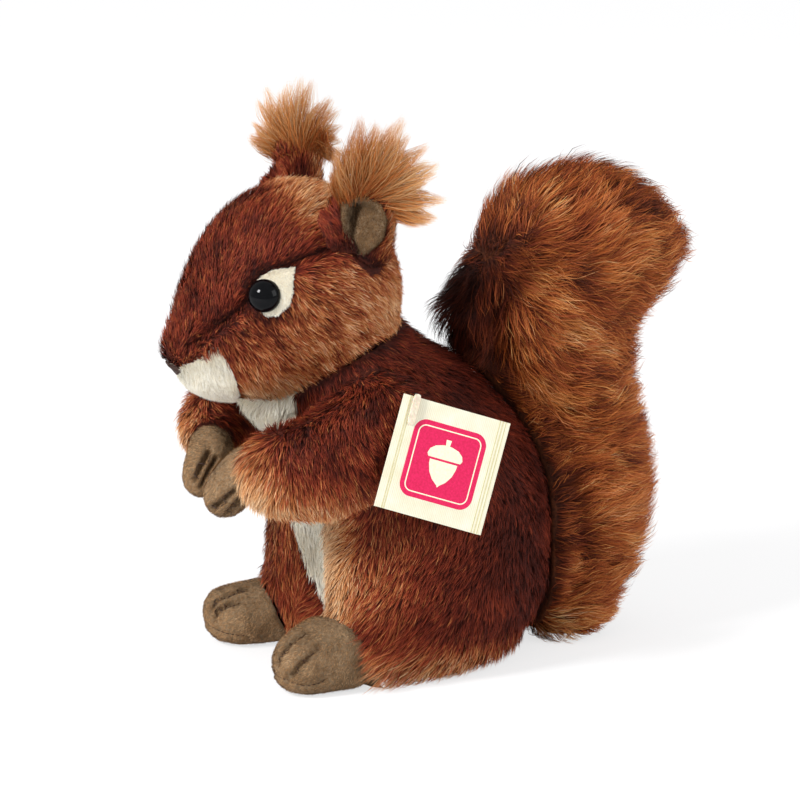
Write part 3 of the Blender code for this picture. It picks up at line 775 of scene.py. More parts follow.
def head_look(points):
    """Dark forehead, light cheeks, golden jaw; painted shade along the seam, before the eyes and by the
    nose.
    """
    y, z = points[:, 1], points[:, 2]
    above = above_seam(points)
    seam = seam_distances(points)
    forehead = ease(above, 0, 6) * (1 - ease(y, -58, -44))
    crown = ease(above, 2, 10) * ease(y, -58, -42)
    jaw = 1 - ease(z, 97, 108)
    nape = bump(y, -20, 9) * (1 - ease(z, 124, 142))
    rim = np.clip(jaw * (1 - 0.6 * ease(y, -20, -8)) + 0.8 * nape, 0, 1)
    cheek = (1 - ease(above, -8, -2)) * (1 - rim)
    snout = 1 - ease(np.linalg.norm(points - NOSE_CENTRE, axis=1), 4, 9)
    local = eye_coordinates(points)
    from_eye = np.linalg.norm(local, axis=1)
    near_eye = 1 - ease(from_eye, 6.5, 12)
    eye_socket_shade = near_eye * (1 - ease(local[:, 0], -3, 4))
    below_eye = (1 - ease(from_eye, 8, 21)) * cheek
    back = ease(y, -78, -50)
    tone = 0.40 - 0.06 * forehead + 0.26 * crown + (-0.02 + 0.11 * back) * cheek + 0.34 * rim
    tone += 0.06 * wave_noise(points, 11 * MM, 301) + 0.10 * wave_noise(points, 4 * MM, 310) * cheek
    # Painted shade: darker strands in the seam's crease, in the socket before each eye and round the nose.
    tone -= 0.50 * bump(seam, 0, 1.6) + 0.30 * eye_socket_shade + 0.20 * snout + 0.13 * below_eye
    golden = np.clip(0.10 + 0.80 * crown + (0.22 + 0.28 * back) * cheek + 0.80 * rim, 0, 1)
    factor = 1 - 0.55 * bump(seam, 0, 2.4) - 0.50 * near_eye - 0.25 * snout
    return tone, golden, np.clip(factor, 0.3, 1)


def clear_of_nose(points):
    """No strands on the nose's own place."""
    return (np.linalg.norm(points - NOSE_CENTRE, axis=1) > NOSE_ROOM).astype(float)


def head_crease(points, owners):
    """The seam pulled in between the two sides of the head, and the full chin of the muzzle."""
    seam = bump(seam_distances(points), 0, SEAM_WIDTH / MM)
    chin = (owners == 1) * (1 - ease(points[:, 2], 98, 106))
    return SEAM_DEPTH * seam - CHIN_RISE * chin


def eye_coordinates(points):
    """Each point in the frame of the eye on its side: towards the ear, up and outwards."""
    return (folded(points) - EYE_PLACE) @ EYE_AXES


def head_owner(names):
    """A function that gives each point's owner: the head, the muzzle or the felt at an eye."""
    nearest = nearest_of(names)

    def owner_of(points):
        owners = nearest(points)
        local = eye_coordinates(points)
        felt = inside(local[:, :2], np.array(PATCH_OUTLINE) * MM)
        felt &= np.abs(local[:, 2]) < PATCH_REACH
        owners[(owners != 1) | (points[:, 2] > MUZZLE_TOP)] = 0
        owners[felt] = np.where(points[felt, 0] > 0, 2, 3)
        return owners

    return owner_of


def body_owner(names):
    """A function that gives each point's owner: the body, or the panel between its edges."""
    nearest = nearest_of(names)
    heights, fars, nears = np.array(PANEL_EDGES).T * MM

    def owner_of(points):
        far = np.interp(points[:, 2], heights, fars)
        near = np.interp(points[:, 2], heights, nears)
        between = (points[:, 0] > far) & (points[:, 0] < near)
        return nearest(points) * between

    return owner_of


def body_flow(points):
    """Down, turning forwards over the haunches and inwards beside the white panel."""
    x, y, z = points.T
    front = 1 - ease(y, -36, -22)
    inwards = -0.8 * np.sign(x) * bump(np.abs(x), 13, 8) * front
    back = 0.30 - 0.95 * (1 - ease(z, 45, 85)) - 0.6 * (1 - ease(z, 14, 32))
    return directions(inwards, back, -1.0)


def body_look(points):
    """Dark brown, gold along the white panel's near edge and at the hem, painted light on the haunch's
    front and painted shade at the back.
    """
    side, x, y, z = points[:, 0], np.abs(points[:, 0]), points[:, 1], points[:, 2]
    front = 1 - ease(y, -34, -20)
    brink = 1 - ease(0.39 * side + 0.92 * y, -30, -15)
    belly = brink * ease(side, 3, 9) * (1 - ease(z, 58, 74))
    haunch = bump(z, 42, 20) * (1 - ease(y, -34, -8))
    hem = (1 - ease(z, 4, 20)) * (1 - 0.45 * ease(y, 0, 25))
    back = ease(y, -15, 25)
    shoulder = ease(z, 78, 96)
    # Painted light and shade: the front of the haunch lighter and golder, towards the key lamp, and the
    # back darker.
    tone = 0.37 + 0.38 * belly + 0.15 * haunch + 0.36 * hem - 0.10 * back - 0.04 * shoulder
    tone += 0.045 * wave_noise(points, 17 * MM, 302)
    golden = np.clip(0.08 + 0.95 * belly + 0.32 * haunch + 0.60 * hem - 0.14 * back, 0, 1)
    heel = (1 - ease(z, 16, 30)) * bump(y, -24, 11) * ease(x, 34, 42)
    far = bump(side, -9, 5) * front
    return tone, golden, 1 + 0.2 * far + 2.0 * heel


def body_crease(points, owners):
    """The belly and the hem behind drawn in, and the white bib swelling under the throat."""
    side, x, y, z = points[:, 0], np.abs(points[:, 0]), points[:, 1], points[:, 2]
    front = 1 - ease(y, -36, -22)
    between = ease(side, -4, 9) * (1 - ease(side, 15, 30))
    belly = 5.5 * MM * between * front * ease(z, 12, 24) * (1 - ease(z, 54, 66))
    bib = 6.5 * MM * bump(z, 88, 9) * (1 - ease(x, 9, 19)) * front
    tuck = 2.2 * MM * (1 - ease(z, 8, 26)) * ease(y, -5, 20)
    return belly + tuck - bib


def arm_flow(points):
    """Down and back over the arm, and forwards over the wrist."""
    return directions(0.0, ease(points[:, 1], -74, -60) - 0.60, -1.0)


def arm_look(points):
    """Dark above, golden along the lower edge and at the wrist."""
    y, z = points[:, 1], points[:, 2]
    under = 1 - ease(z + 0.18 * y, 50, 72)
    wrist = 1 - ease(y, -74, -60)
    tone = 0.33 + 0.34 * under + 0.26 * wrist + 0.06 * wave_noise(points, 12 * MM, 303)
    golden = np.clip(0.10 + 0.75 * under + 0.65 * wrist, 0, 1)
    return tone, golden, 1 + 0.45 * (points[:, 0] > 0) * wrist


def ear_look(points):
    """Dark red along the rolled front edge, golden behind, and painted shade at the foot where the ear
    meets the head.
    """
    y, z = points[:, 1], points[:, 2]
    behind = ease(y, -30, -21)
    top = ease(z, 158, 166)
    base = 1 - ease(z, 140, 150)
    # Painted shade: the ear's foot darkened where it meets the head.
    tone = 0.30 + 0.30 * behind + 0.10 * top - 0.16 * base + 0.05 * wave_noise(points, 8 * MM, 304)
    return tone, np.clip(0.05 + 0.8 * behind + 0.3 * top, 0, 1), np.ones(len(points))


def ear_flow(points):
    """Up the ear, and forwards over its front edge."""
    return directions(0.0, 0.15 - 0.9 * (1 - ease(points[:, 1], -38, -32)), 1.0)


def ear_owner(points):
    """The napped lining within its outline on the ear's outer side, and the ear elsewhere."""
    lining = inside(points[:, 1:], np.array(LINING_OUTLINE) * MM)
    lean = LINING_LEAN * np.clip(LINING_LEAN_TOP - points[:, 2], 0, LINING_LEAN_REACH)
    return (lining & (np.abs(points[:, 0]) > LINING_SIDE - lean)).astype(np.int64)


def fold_distances(points):
    """How far each point is from the fold of the ear's lining, seen from the side."""
    return line_distances(points[:, 1:], np.array(LINING_FOLD) * MM)


def ear_crease(points, owners):
    """The lining cupped round its fold, and the rolled front edge of the ear."""
    y, z = points[:, 1], points[:, 2]
    closed = np.array([*LINING_OUTLINE, LINING_OUTLINE[0]]) * MM
    rim = line_distances(points[:, 1:], closed)
    cup = 1.8 * MM * ease(rim, 0.5, 4.0) + 2.6 * MM * bump(fold_distances(points), 0, 1.3)
    roll = 4.6 * MM * (1 - ease(y, -38, -31)) * ease(z, 138, 146)
    return np.where(owners == 1, cup, -roll * ease(rim, 0, 2.2))


def steady(direction):
    """A function that gives the same direction everywhere."""
    return lambda points: np.tile(direction, (len(points), 1))


def pale_look(points):
    """Even cream, a little deeper in soft patches."""
    count = len(points)
    return 0.84 + 0.08 * wave_noise(points, 9 * MM, 305), np.full(count, 0.35), np.ones(count)


def nap_look(points):
    """Even taupe with soft patches."""
    count = len(points)
    return 0.48 + 0.07 * wave_noise(points, 5 * MM, 306), np.full(count, 0.5), np.ones(count)


def lining_look(points):
    """Taupe, with painted shade along the ear's fold."""
    tone, golden, factor = nap_look(points)
    return tone - 0.26 - 0.50 * bump(fold_distances(points), 0, 1.5), golden, factor


def paw_look(name):
    """A function that gives the paw's nap: as elsewhere, with painted shade in the creases."""

    def look(points):
        tone, golden, factor = nap_look(points)
        return tone - 0.34 * bump(toe_distances(name, points), 0, 1.3), golden, factor

    return look


def tail_centre(points):
    """How far each point stands behind the tail's seam, and above its pucker."""
    heights, places = np.array(TAIL_SEAM).T * MM
    seam = np.interp(points[:, 2], heights, places)
    return points[:, 1] - seam, points[:, 2] - PUCKER_HEIGHT


def tail_flow(points):
    """Fanned out from the pucker on each side, and swept back below it."""
    x, z = points[:, 0], points[:, 2]
    behind, above = tail_centre(points)
    fan = ease(z, 78, 112)
    radial = unit(np.stack([behind, above], axis=1))
    swept = np.where(behind < 0, -1.0, 1.0)
    outwards = 0.4 * np.sign(x) * (1 - ease(z, 8, 24))
    back = fan * radial[:, 0] + (1 - fan) * swept
    return directions(outwards, back, fan * (radial[:, 1] + 0.25) + (1 - fan) * 0.22)


def tail_look(points):
    """Golden brown locks with dark gaps, with painted shade at the pucker, along the seam and on the inner
    face.
    """
    z = points[:, 2]
    behind, above = tail_centre(points)
    reach = np.hypot(behind, above)
    inner = 1 - ease(behind, -10, 8)
    inner_shade = inner * (1 - ease(z, 128, 146))
    seam = bump(behind, 0, 6) * ease(-above, 0, 8) * ease(z, 84, 98)
    top = ease(above, 0, 18)
    low = 1 - ease(z, 20, 60)
    base = (1 - ease(z, 6, 18)) * (1 - ease(behind, 16, 32))
    # Painted shade: darker on the inner face towards the body, round the pucker and down the seam.
    tone = 0.40 - 0.40 * inner_shade - 0.18 * bump(reach, 0, 11) - 0.20 * seam + 0.26 * base
    tone += 0.04 * low - 0.09 * top
    tone += 0.07 * wave_noise(points, 16 * MM, 307) + 0.07 * wave_noise(points, 7 * MM, 308)
    golden = np.clip(0.60 - 0.5 * inner_shade + 0.12 * wave_noise(points, 22 * MM, 309), 0, 1)
    factor = 1 - 0.45 * bump(reach, 0, 9) + 0.8 * base
    return tone, golden, factor


def tail_swell(points):
    """How far each point belongs to the lump of the tail's front behind the neck."""
    behind, _ = tail_centre(points)
    return (1 - ease(behind, -9, -1)) * bump(points[:, 2], 115, 13)


def tail_crease(points, owners):
    """The pucker, the seam below it, the fuller front, and the slimmer waist and foot behind."""
    x, z = points[:, 0], points[:, 2]
    behind, above = tail_centre(points)
    side = ease(np.abs(x), 8, 18)
    pucker = bump(np.hypot(behind, above), 0, PUCKER_WIDTH / MM)
    seam = bump(behind, 0, 4) * ease(-above, 0, 8) * ease(z, 80, 96)
    brow = (1 - ease(behind - 0.74 * above, 6, 17)) * bump(above, 4, 18)
    waist = ease(behind, 12, 26) * bump(z, 106, 9)
    foot = ease(behind, 22, 40) * (1 - ease(z, 12, 46))
    drawn = PUCKER_DEPTH * side * np.maximum(pucker, 0.85 * seam) + TAIL_SLIM * (waist + foot)
    return drawn - SWELL_RISE * np.maximum(tail_swell(points), brow)


def outer_weight(points):
    """Denser where the pile is seen most, at the outer sides and the back."""
    behind, _ = tail_centre(points)
    return 0.55 + 0.45 * ease(behind, -15, 5)


def cover(names, skin, node_name, cloth, coat, flow, look, owner=0, weight=plain_weight, padded=False):
    """An owner's part of the skin and its pile, which both stand for the node."""
    backing = skin_piece(names[0], skin, owner, cloth.backing)
    place(backing, cloth.slot, node_name, padded=padded)
    pile = grow(names[1], skin, coat, flow, look, cloth.fur, owner, weight)
    place(pile, cloth.slot, node_name)


def build_body(cloths):
    """The body and the white panel on its belly, with their piles."""
    nodes = ("body", "chest_panel")
    depths = (2.6 * MM, 2.2 * MM)
    skin = stuffed_skin(nodes, 2.0 * MM, depths, body_owner(nodes), crease=body_crease)
    coat = Coat(58000, 4.5 * MM, 0.26 * MM, 0.44, 2.4 * MM, 0.20, seed=21, clump_tone=0.03)
    names = ("body_skin", "body_fur")
    cover(names, skin, "body", cloths["brown"], coat, body_flow, body_look, padded=True)
    pale = Coat(12500, 3.4 * MM, 0.22 * MM, 0.42, 2.0 * MM, 0.08, seed=22, sparkle=0.10)
    names = ("panel_skin", "panel_fur")
    cover(names, skin, "chest_panel", cloths["white"], pale, steady(DOWN), pale_look, owner=1)


def build_head(cloths, thread):
    """The head, its white muzzle and the felt round its eyes, with their piles."""
    nodes = ("head", "muzzle", "eye_patch_left", "eye_patch_right", "nose")
    depths = (1.5 * MM, 1.5 * MM, 0.9 * MM, 0.9 * MM)
    owner_of = head_owner(("head", "muzzle"))
    skin = stuffed_skin(nodes, 1.4 * MM, depths, owner_of, crease=head_crease, floor=False)
    coat = Coat(57500, 4.1 * MM, 0.24 * MM, 0.50, 2.0 * MM, 0.22, seed=31, clump_tone=0.06)
    cover(
        ("head_skin", "head_fur"), skin, "head", cloths["brown"], coat, head_flow, head_look,
        weight=clear_of_nose, padded=True,
    )
    pale = Coat(14000, 1.7 * MM, 0.24 * MM, 0.5, 1.6 * MM, 0.1, seed=32, segments=1, sparkle=0.08)
    names = ("muzzle_skin", "muzzle_fur")
    cover(names, skin, "muzzle", cloths["white"], pale, steady(OFF_LIP), pale_look, owner=1)
    for index, (side, _) in enumerate(SIDES):
        nap = Coat(
            3600, 1.0 * MM, 0.20 * MM, 0.5, 1.0 * MM, 0.1, seed=33 + index, segments=1, sparkle=0.1
        )
        names = (f"patch_skin_{side}", f"patch_nap_{side}")
        node_name = f"eye_patch_{side}"
        cover(names, skin, node_name, cloths["felt"], nap, steady(OFF_LIP), pale_look, owner=2 + index)
    build_nose(skin, thread)


def tube(shape, line, radius, sides=6):
    """A round thread along the line, closed at its ends, added to the shape."""
    rings = []
    for index, spot in enumerate(line):
        before, after = line[max(index - 1, 0)], line[min(index + 1, len(line) - 1)]
        along = (after - before).normalized()
        first = along.orthogonal().normalized()
        second = along.cross(first)
        end = index in (0, len(line) - 1)
        reach = radius * (0.45 if end else 1.0)
        ring = []
        for step in range(sides):
            turn = 2 * math.pi * step / sides
            radial = math.cos(turn) * first + math.sin(turn) * second
            ring.append(shape.verts.new(spot + reach * radial))
        rings.append(ring)
    for low, high in zip(rings[:-1], rings[1:]):
        nearest = min(range(sides), key=lambda step: (high[step].co - low[0].co).length)
        for step in range(sides):
            after = (step + 1) % sides
            shape.faces.new((
                low[step], low[after], high[(nearest + after) % sides], high[(nearest + step) % sides]
            ))
    shape.faces.new(rings[0])
    shape.faces.new(rings[-1])


def shape_object(name, shape, material, smooth=True):
    """An object of the finished shape."""
    bmesh.ops.recalc_face_normals(shape, faces=shape.faces)
    mesh = bpy.data.meshes.new(name)
    shape.to_mesh(mesh)
    shape.free()
    if smooth:
        mesh.shade_smooth()
    mesh.materials.append(material)
    return mesh_object(name, mesh)


def build_nose(skin, material):
    """The nose of satin stitches, laid side to side on the snout."""
    tree = BVHTree.FromPolygons(skin.vertices.tolist(), skin.triangles.tolist())
    shape = bmesh.new()
    for level in np.linspace(-1, 1, NOSE_THREADS):
        reach = NOSE_HALF_WIDTH * (1 - 0.75 * abs(level) ** 2.2) * (1.0 + 0.12 * level)
        line = []
        for across in np.linspace(-1, 1, 9):
            offset = (reach * across, -12 * MM, level * NOSE_HALF_HEIGHT)
            spot, normal, _, _ = tree.ray_cast(Vector(NOSE_CENTRE + offset), Vector((0, 1, 0)))
            sunk = 0.9 * MM * abs(across) ** 6
            line.append(spot + normal * (NOSE_STANDS - sunk))
        tube(shape, line, NOSE_THREAD_RADIUS)
    place(shape_object("nose_stitches", shape, material), "nose_thread", "nose")


def build_tail(cloths):
    """The tail with its long fluffy pile, in two layers."""
    cloth = cloths["tail"]
    skin = stuffed_skin(("tail",), 2.6 * MM, (6.1 * MM,), smoothing=4, crease=tail_crease)
    place(skin_piece("tail_skin", skin, 0, cloth.backing), cloth.slot, "tail", padded=True)
    layers = (("under", 38000, 11.5 * MM, 0.36, 2, 61), ("outer", 27500, 13.5 * MM, 0.42, 3, 62))
    for name, count, length, lift, segments, seed in layers:
        coat = Coat(
            count, length, 0.25 * MM, lift, 6.5 * MM, 0.46, seed, spread=0.20, swirl=0.46,
            wave=0.08, segments=segments, jitter=0.17, clump_tone=0.09, sparkle=0.28,
        )
        fur = grow(
            f"tail_fur_{name}", skin, coat, tail_flow, tail_look, cloth.fur, weight=outer_weight
        )
        place(fur, cloth.slot, "tail")


def build_arm(side, seed, cloths):
    """An arm with its pile."""
    name = f"arm_{side}"
    skin = stuffed_skin((name,), 1.8 * MM, (ARM_DEPTHS[side],))
    coat = Coat(14500, 4.9 * MM, 0.28 * MM, 0.44, 2.6 * MM, 0.26, seed)
    names = (f"{name}_skin", f"{name}_fur")
    cover(names, skin, name, cloths["brown"], coat, arm_flow, arm_look, padded=True)


def build_ear(side, seed, cloths):
    """An ear with its pile and its napped lining."""
    ear, lining = f"ear_{side}", f"ear_lining_{side}"
    skin = stuffed_skin(
        (ear, lining), 0.9 * MM, (1.0 * MM, 0.5 * MM), ear_owner,
        smoothing=2, crease=ear_crease, floor=False,
    )
    coat = Coat(5200, 3.6 * MM, 0.26 * MM, 0.44, 2.0 * MM, 0.25, seed)
    names = (f"{ear}_skin", f"{ear}_fur")
    cover(names, skin, ear, cloths["brown"], coat, ear_flow, ear_look, padded=True)
    nap = Coat(5600, 0.9 * MM, 0.17 * MM, 0.55, 1.0 * MM, 0.1, seed + 1, segments=1, sparkle=0.15)
    names = (f"{lining}_skin", f"{lining}_nap")
    cover(names, skin, lining, cloths["taupe"], nap, ear_flow, lining_look, owner=1, padded=True)


def paw_lines(name):
    """A paw's creases between its toes or fingers and a foot's sole seam, on the left side."""
    lines = [np.array(line) * MM for line in TOE_LINES[name]]
    if name.startswith("foot"):
        lines.append(np.array(SOLE_SEAM) * MM)
    return lines


def toe_distances(name, points):
    """How far each point is from the nearest crease between the paw's toes."""
    return np.min([line_distances(folded(points), line) for line in paw_lines(name)[:2]], axis=0)


def paw_crease(name):
    """A function that gives how far the creases and the heel draw in the paw, less the instep."""
    sole = paw_lines(name)[2:]
    kind = name.split("_")[0]
    rise = INSTEP_RISE if name == "foot_left" else 0.0

    def crease(points, owners):
        drawn = TOE_DEPTHS[kind] * bump(toe_distances(name, points), 0, TOE_WIDTH / MM)
        for line in sole:
            seam = bump(line_distances(folded(points), line), 0, TOE_WIDTH / MM)
            drawn = np.maximum(drawn, SOLE_DEPTH * seam)
        high = ease(points[:, 2], 10, 19) * ease(points[:, 1], -60, -46)
        rear = HEEL_DEPTH * ease(points[:, 1], -37, -27) * bool(sole)
        return drawn - rise * high + rear

    return crease


def build_paw(name, count, seed, cloths, thread):
    """A hand or a foot of napped cloth, with creases stitched between its toes."""
    depth = FAR_HAND_DEPTH if name == "hand_right" else PAW_DEPTH
    skin = stuffed_skin((name,), 0.9 * MM, (depth,), smoothing=2, crease=paw_crease(name))
    nap = Coat(count, 0.85 * MM, 0.19 * MM, 0.55, 1.1 * MM, 0.1, seed, segments=1, sparkle=0.2)
    names = (f"{name}_skin", f"{name}_nap")
    look = paw_look(name)
    cover(names, skin, name, cloths["taupe"], nap, steady(OVER_TOES), look, padded=True)
    mirror = dict(SIDES)[name.split("_")[1]]
    lines = [line * (mirror, 1, 1) for line in paw_lines(name)]
    place(stitches(f"{name}_stitches", skin, lines, thread), "taupe_nap", name)


def stitches(name, skin, lines, material):
    """Short threads along the lines, laid on the skin."""
    tree = BVHTree.FromPolygons(skin.vertices.tolist(), skin.triangles.tolist())
    shape = bmesh.new()
    for line in lines:
        legs = np.linalg.norm(np.diff(line, axis=0), axis=1)
        reached = np.concatenate([[0], np.cumsum(legs)])
        for start in np.arange(0.3 * MM, reached[-1] - STITCH_LENGTH, STITCH_PITCH):
            places = start + np.linspace(0, STITCH_LENGTH, 5)
            spots = directions(*(np.interp(places, reached, column) for column in line.T))
            thread = []
            for step, spot in enumerate(spots):
                found, normal, _, _ = tree.find_nearest(Vector(spot))
                arch = math.sin(math.pi * step / 4)
                thread.append(found + normal * (0.05 * MM + 0.16 * MM * arch))
            tube(shape, thread, STITCH_RADIUS)
    return shape_object(name, shape, material)


def build_tuft(side, mirror, seed, material):
    """A wide fan of long wavy hair in pointed locks along the ear's upper rim."""
    rng = np.random.default_rng(seed)
    count = TUFT_STRANDS
    fan_turns, reaches, backs, rises = np.array(TUFT_FANS[side]).T
    degrees = rng.uniform(fan_turns[0], fan_turns[-1], size=count)
    turns = np.radians(degrees)
    out = TUFT_OUT + rng.normal(scale=0.22, size=count)
    flows = unit(np.stack([out, np.cos(turns), np.sin(turns)], axis=1))
    roots = np.tile(TUFT_CENTRES[side], (count, 1))
    roots[:, 1] += np.interp(degrees, fan_turns, backs) * MM
    roots[:, 2] += np.interp(degrees, fan_turns, rises) * MM
    roots += rng.normal(scale=1.3 * MM, size=(count, 3)) * (1.5, 1, 1)
    normals = unit(np.cross(flows, np.cross([1.0, 0.0, 0.2], flows)))
    layers = rng.integers(0, 3, size=count)
    strayed = degrees + layers * TUFT_LOCK / 3 + rng.normal(scale=2.5, size=count)
    locks = np.floor(strayed / TUFT_LOCK)
    cells = np.unique(np.stack([locks, layers], axis=1), axis=0, return_inverse=True)[1].ravel()
    lobes = rng.uniform(0.66, 1.12, size=cells.max() + 1)[cells]
    reach = np.interp(degrees, fan_turns, reaches) * MM
    lengths = reach * lobes * rng.normal(0.95, 0.13, size=count).clip(0.4, 1.12)
    for array in (flows, roots, normals):
        array[:, 0] *= mirror
    coat = Coat(count, 0.0, 0.14 * MM, 0.10, 5.0 * MM, 0.80, seed, wave=0.07, segments=3)
    lines = strand_lines(roots, normals, flows, lengths, coat, rng, cells)
    cell_tones = rng.normal(scale=0.07, size=cells.max() + 1)
    tones = 0.55 + cell_tones[cells] + rng.normal(scale=0.08, size=count)
    families = (rng.random(count) < 0.35).astype(float)
    widths = coat.width * rng.uniform(0.7, 1.3, size=count)
    mesh = blade_mesh(f"ear_tuft_{side}_hair", lines, normals, widths, tones, families, rng)
    mesh.materials.append(material)
    place(mesh_object(mesh.name, mesh), "tuft_hair", f"ear_tuft_{side}")


def eye_frame(mirror):
    """The eye's frame: its origin on the head, +X towards the ear and +Z out of the head."""
    matrix = np.eye(4)
    matrix[:3, :3] = EYE_AXES
    matrix[:3, 3] = EYE_PLACE + EYE_AXES @ EYE_OFFSET
    return Matrix.Diagonal((mirror, 1, 1, 1)) @ Matrix(matrix.tolist())


def turned(name, profile, segments, placing, material):
    """A body turned about the placing's Z axis from (radius, height) points, closed at its ends."""
    shape = bmesh.new()
    rings = []
    for radius, height in profile:
        turns = [2 * math.pi * step / segments for step in range(segments)]
        spots = [(0, 0, height)] if radius == 0 else [
            (radius * math.cos(turn), radius * math.sin(turn), height) for turn in turns
        ]
        rings.append([shape.verts.new(placing @ Vector(spot)) for spot in spots])
    for low, high in zip(rings[:-1], rings[1:]):
        for step in range(segments):
            after = (step + 1) % segments
            corners = [
                low[step % len(low)], low[after % len(low)],
                high[after % len(high)], high[step % len(high)],
            ]
            shape.faces.new(list(dict.fromkeys(corners)))
    return shape_object(name, shape, material)


def build_eye(side, mirror, material):
    """A glossy domed eye sunk into its felt."""
    turns = np.linspace(0, math.pi / 2, 14)
    profile = [(EYE_RADIUS * math.sin(turn), EYE_DOME * math.cos(turn)) for turn in turns]
    profile[0] = (0.0, EYE_DOME)
    back = -EYE_SUNK - 0.4 * MM
    profile += [(EYE_RADIUS, -EYE_SUNK), (EYE_RADIUS * 0.9, back), (0.0, back)]
    eye = turned(f"eye_dome_{side}", profile, EYE_SEGMENTS, eye_frame(mirror), material)
    place(eye, "eye_plastic", f"eye_{side}")


def tag_frame():
    """The tag's frame: its centre, +X and +Y along its sides and +Z out of its front."""
    turn = Matrix.Rotation(TAG_TURN, 4, "Z")
    upright = Matrix.Rotation(math.pi / 2, 4, "X")
    tilt = Matrix.Rotation(-TAG_RISE, 4, "X")
    roll = Matrix.Rotation(TAG_ROLL, 4, "Z")
    return Matrix.Translation(TAG_CENTRE) @ turn @ upright @ tilt @ roll


def rounded_square(half, corner, steps=8):
    """The outline of a square with rounded corners."""
    outline = []
    for quarter in range(4):
        middle = quarter * math.pi / 2 + math.pi / 4
        centre = Vector((math.cos(middle), math.sin(middle))) * (half - corner) * math.sqrt(2)
        for step in range(steps + 1):
            turn = quarter * math.pi / 2 + step / steps * math.pi / 2
            outline.append(centre + Vector((math.cos(turn), math.sin(turn))) * corner)
    return outline


def mirrored(half_outline):
    """A closed outline from its right half, given from bottom to top."""
    left = [(-x, y) for x, y in reversed(half_outline) if x > 0]
    return [Vector(spot) for spot in [*half_outline, *left]]


def prism(shape, outline, low, high, placing):
    """A thin solid of the outline between two heights of the placing."""
    rings = [
        [shape.verts.new(placing @ Vector((spot.x, spot.y, height))) for spot in outline]
        for height in (low, high)
    ]
    shape.faces.new(rings[0])
    shape.faces.new(rings[1])
    for step in range(len(outline)):
        after = (step + 1) % len(outline)
        shape.faces.new((rings[0][step], rings[0][after], rings[1][after], rings[1][step]))


def border(shape, outer, inner, low, high, placing):
    """A thin band between two outlines with as many points."""
    rings = [
        [shape.verts.new(placing @ Vector((spot.x, spot.y, height))) for spot in outline]
        for outline, height in ((outer, low), (outer, high), (inner, high), (inner, low))
    ]
    for ring, other in zip(rings, [*rings[1:], rings[0]]):
        for step in range(len(outer)):
            after = (step + 1) % len(outer)
            shape.faces.new((ring[step], ring[after], other[after], other[step]))


def build_tag():
    """The card tag's print, and the finish of the card, its pin and the eyes' washers."""
    placing = tag_frame()
    face = TAG_SHEET / 2
    panel = bmesh.new()
    prism(panel, rounded_square(PRINT_HALF, PRINT_CORNER), face, face + INK, placing)
    lines = bmesh.new()
    top = face + 2 * INK
    corner = PRINT_CORNER - PRINT_HALF + FRAME_HALF
    outer = rounded_square(FRAME_HALF, corner)
    inner = rounded_square(FRAME_HALF - FRAME_WIDTH, corner - FRAME_WIDTH)
    border(lines, outer, inner, face, top, placing)
    for part in (NUT, NUT_CAP):
        outline = mirrored([(x * MM, y * MM) for x, y in part])
        prism(lines, outline, face, top, placing)
    edges = bmesh.new()
    half = TAG_SIDE / 2
    for left in EDGE_LINES:
        low, high = left * MM, left * MM + EDGE_WIDTH
        strip = [Vector(spot) for spot in ((low, -half), (high, -half), (high, half), (low, half))]
        prism(edges, strip, face, face + INK, placing)
    crimson = ink_material("crimson_ink", (200, 16, 72), (222, 28, 92))
    cream = ink_material("cream_ink", (236, 222, 190), (246, 236, 212))
    straw = ink_material("straw_ink", (190, 182, 132), (214, 206, 160))
    prints = (("panel", panel, crimson), ("acorn", lines, cream), ("edges", edges, straw))
    for name, shape, ink in prints:
        piece = shape_object(f"tag_print_{name}", shape, ink, smooth=False)
        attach(piece, "root")
    finish("hang_tag", card_material(placing))
    finish("tag_fastener", pin_material())
    for side, _ in SIDES:
        finish(f"eye_washer_{side}", washer_material())


def finish(name, material):
    """Give a CAD node that stays its material."""
    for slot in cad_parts[name].material_slots:
        slot.material = material


def place(piece, slot, *nodes, padded=False):
    """Let the piece ride on the body and stand for the CAD nodes, which are hidden; its slot is not used.
    """
    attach(piece, "root")
    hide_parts(*nodes)


def grained(name, roughness, specular, scale, dark, light, stops=(0.3, 0.7), relief=None, detail=3.0):
    """A material with fine noise between two colours, raised by that noise where relief is given."""
    material, tree, shader = new_material(name, roughness, specular)
    grain = noise(tree, object_coordinates(tree), scale, detail)
    colour = ramp(tree, grain, [(stops[0], srgb(*dark)), (stops[1], srgb(*light))])
    tree.links.new(colour, shader.inputs["Base Color"])
    if relief:
        add_bump(tree, shader, grain, *relief)
    return material


def eye_material():
    """Black glossy plastic with a faint clouding."""
    return grained("eye_gloss", 0.05, 0.13, 500.0, (3, 4, 6), (9, 9, 12), stops=(0.3, 0.8))


def thread_material():
    """Dark brown embroidery thread with its fine twist."""
    relief = (0.5, 0.1 * MM)
    return grained("dark_thread", 0.5, 0.3, 4000.0, (34, 20, 16), (76, 50, 38), relief=relief, detail=2.0)


def ink_material(name, dark, light):
    """Printed ink with the card's grain showing in it."""
    return grained(name, 0.4, 0.3, 1500.0, dark, light, relief=(0.15, 0.05 * MM))


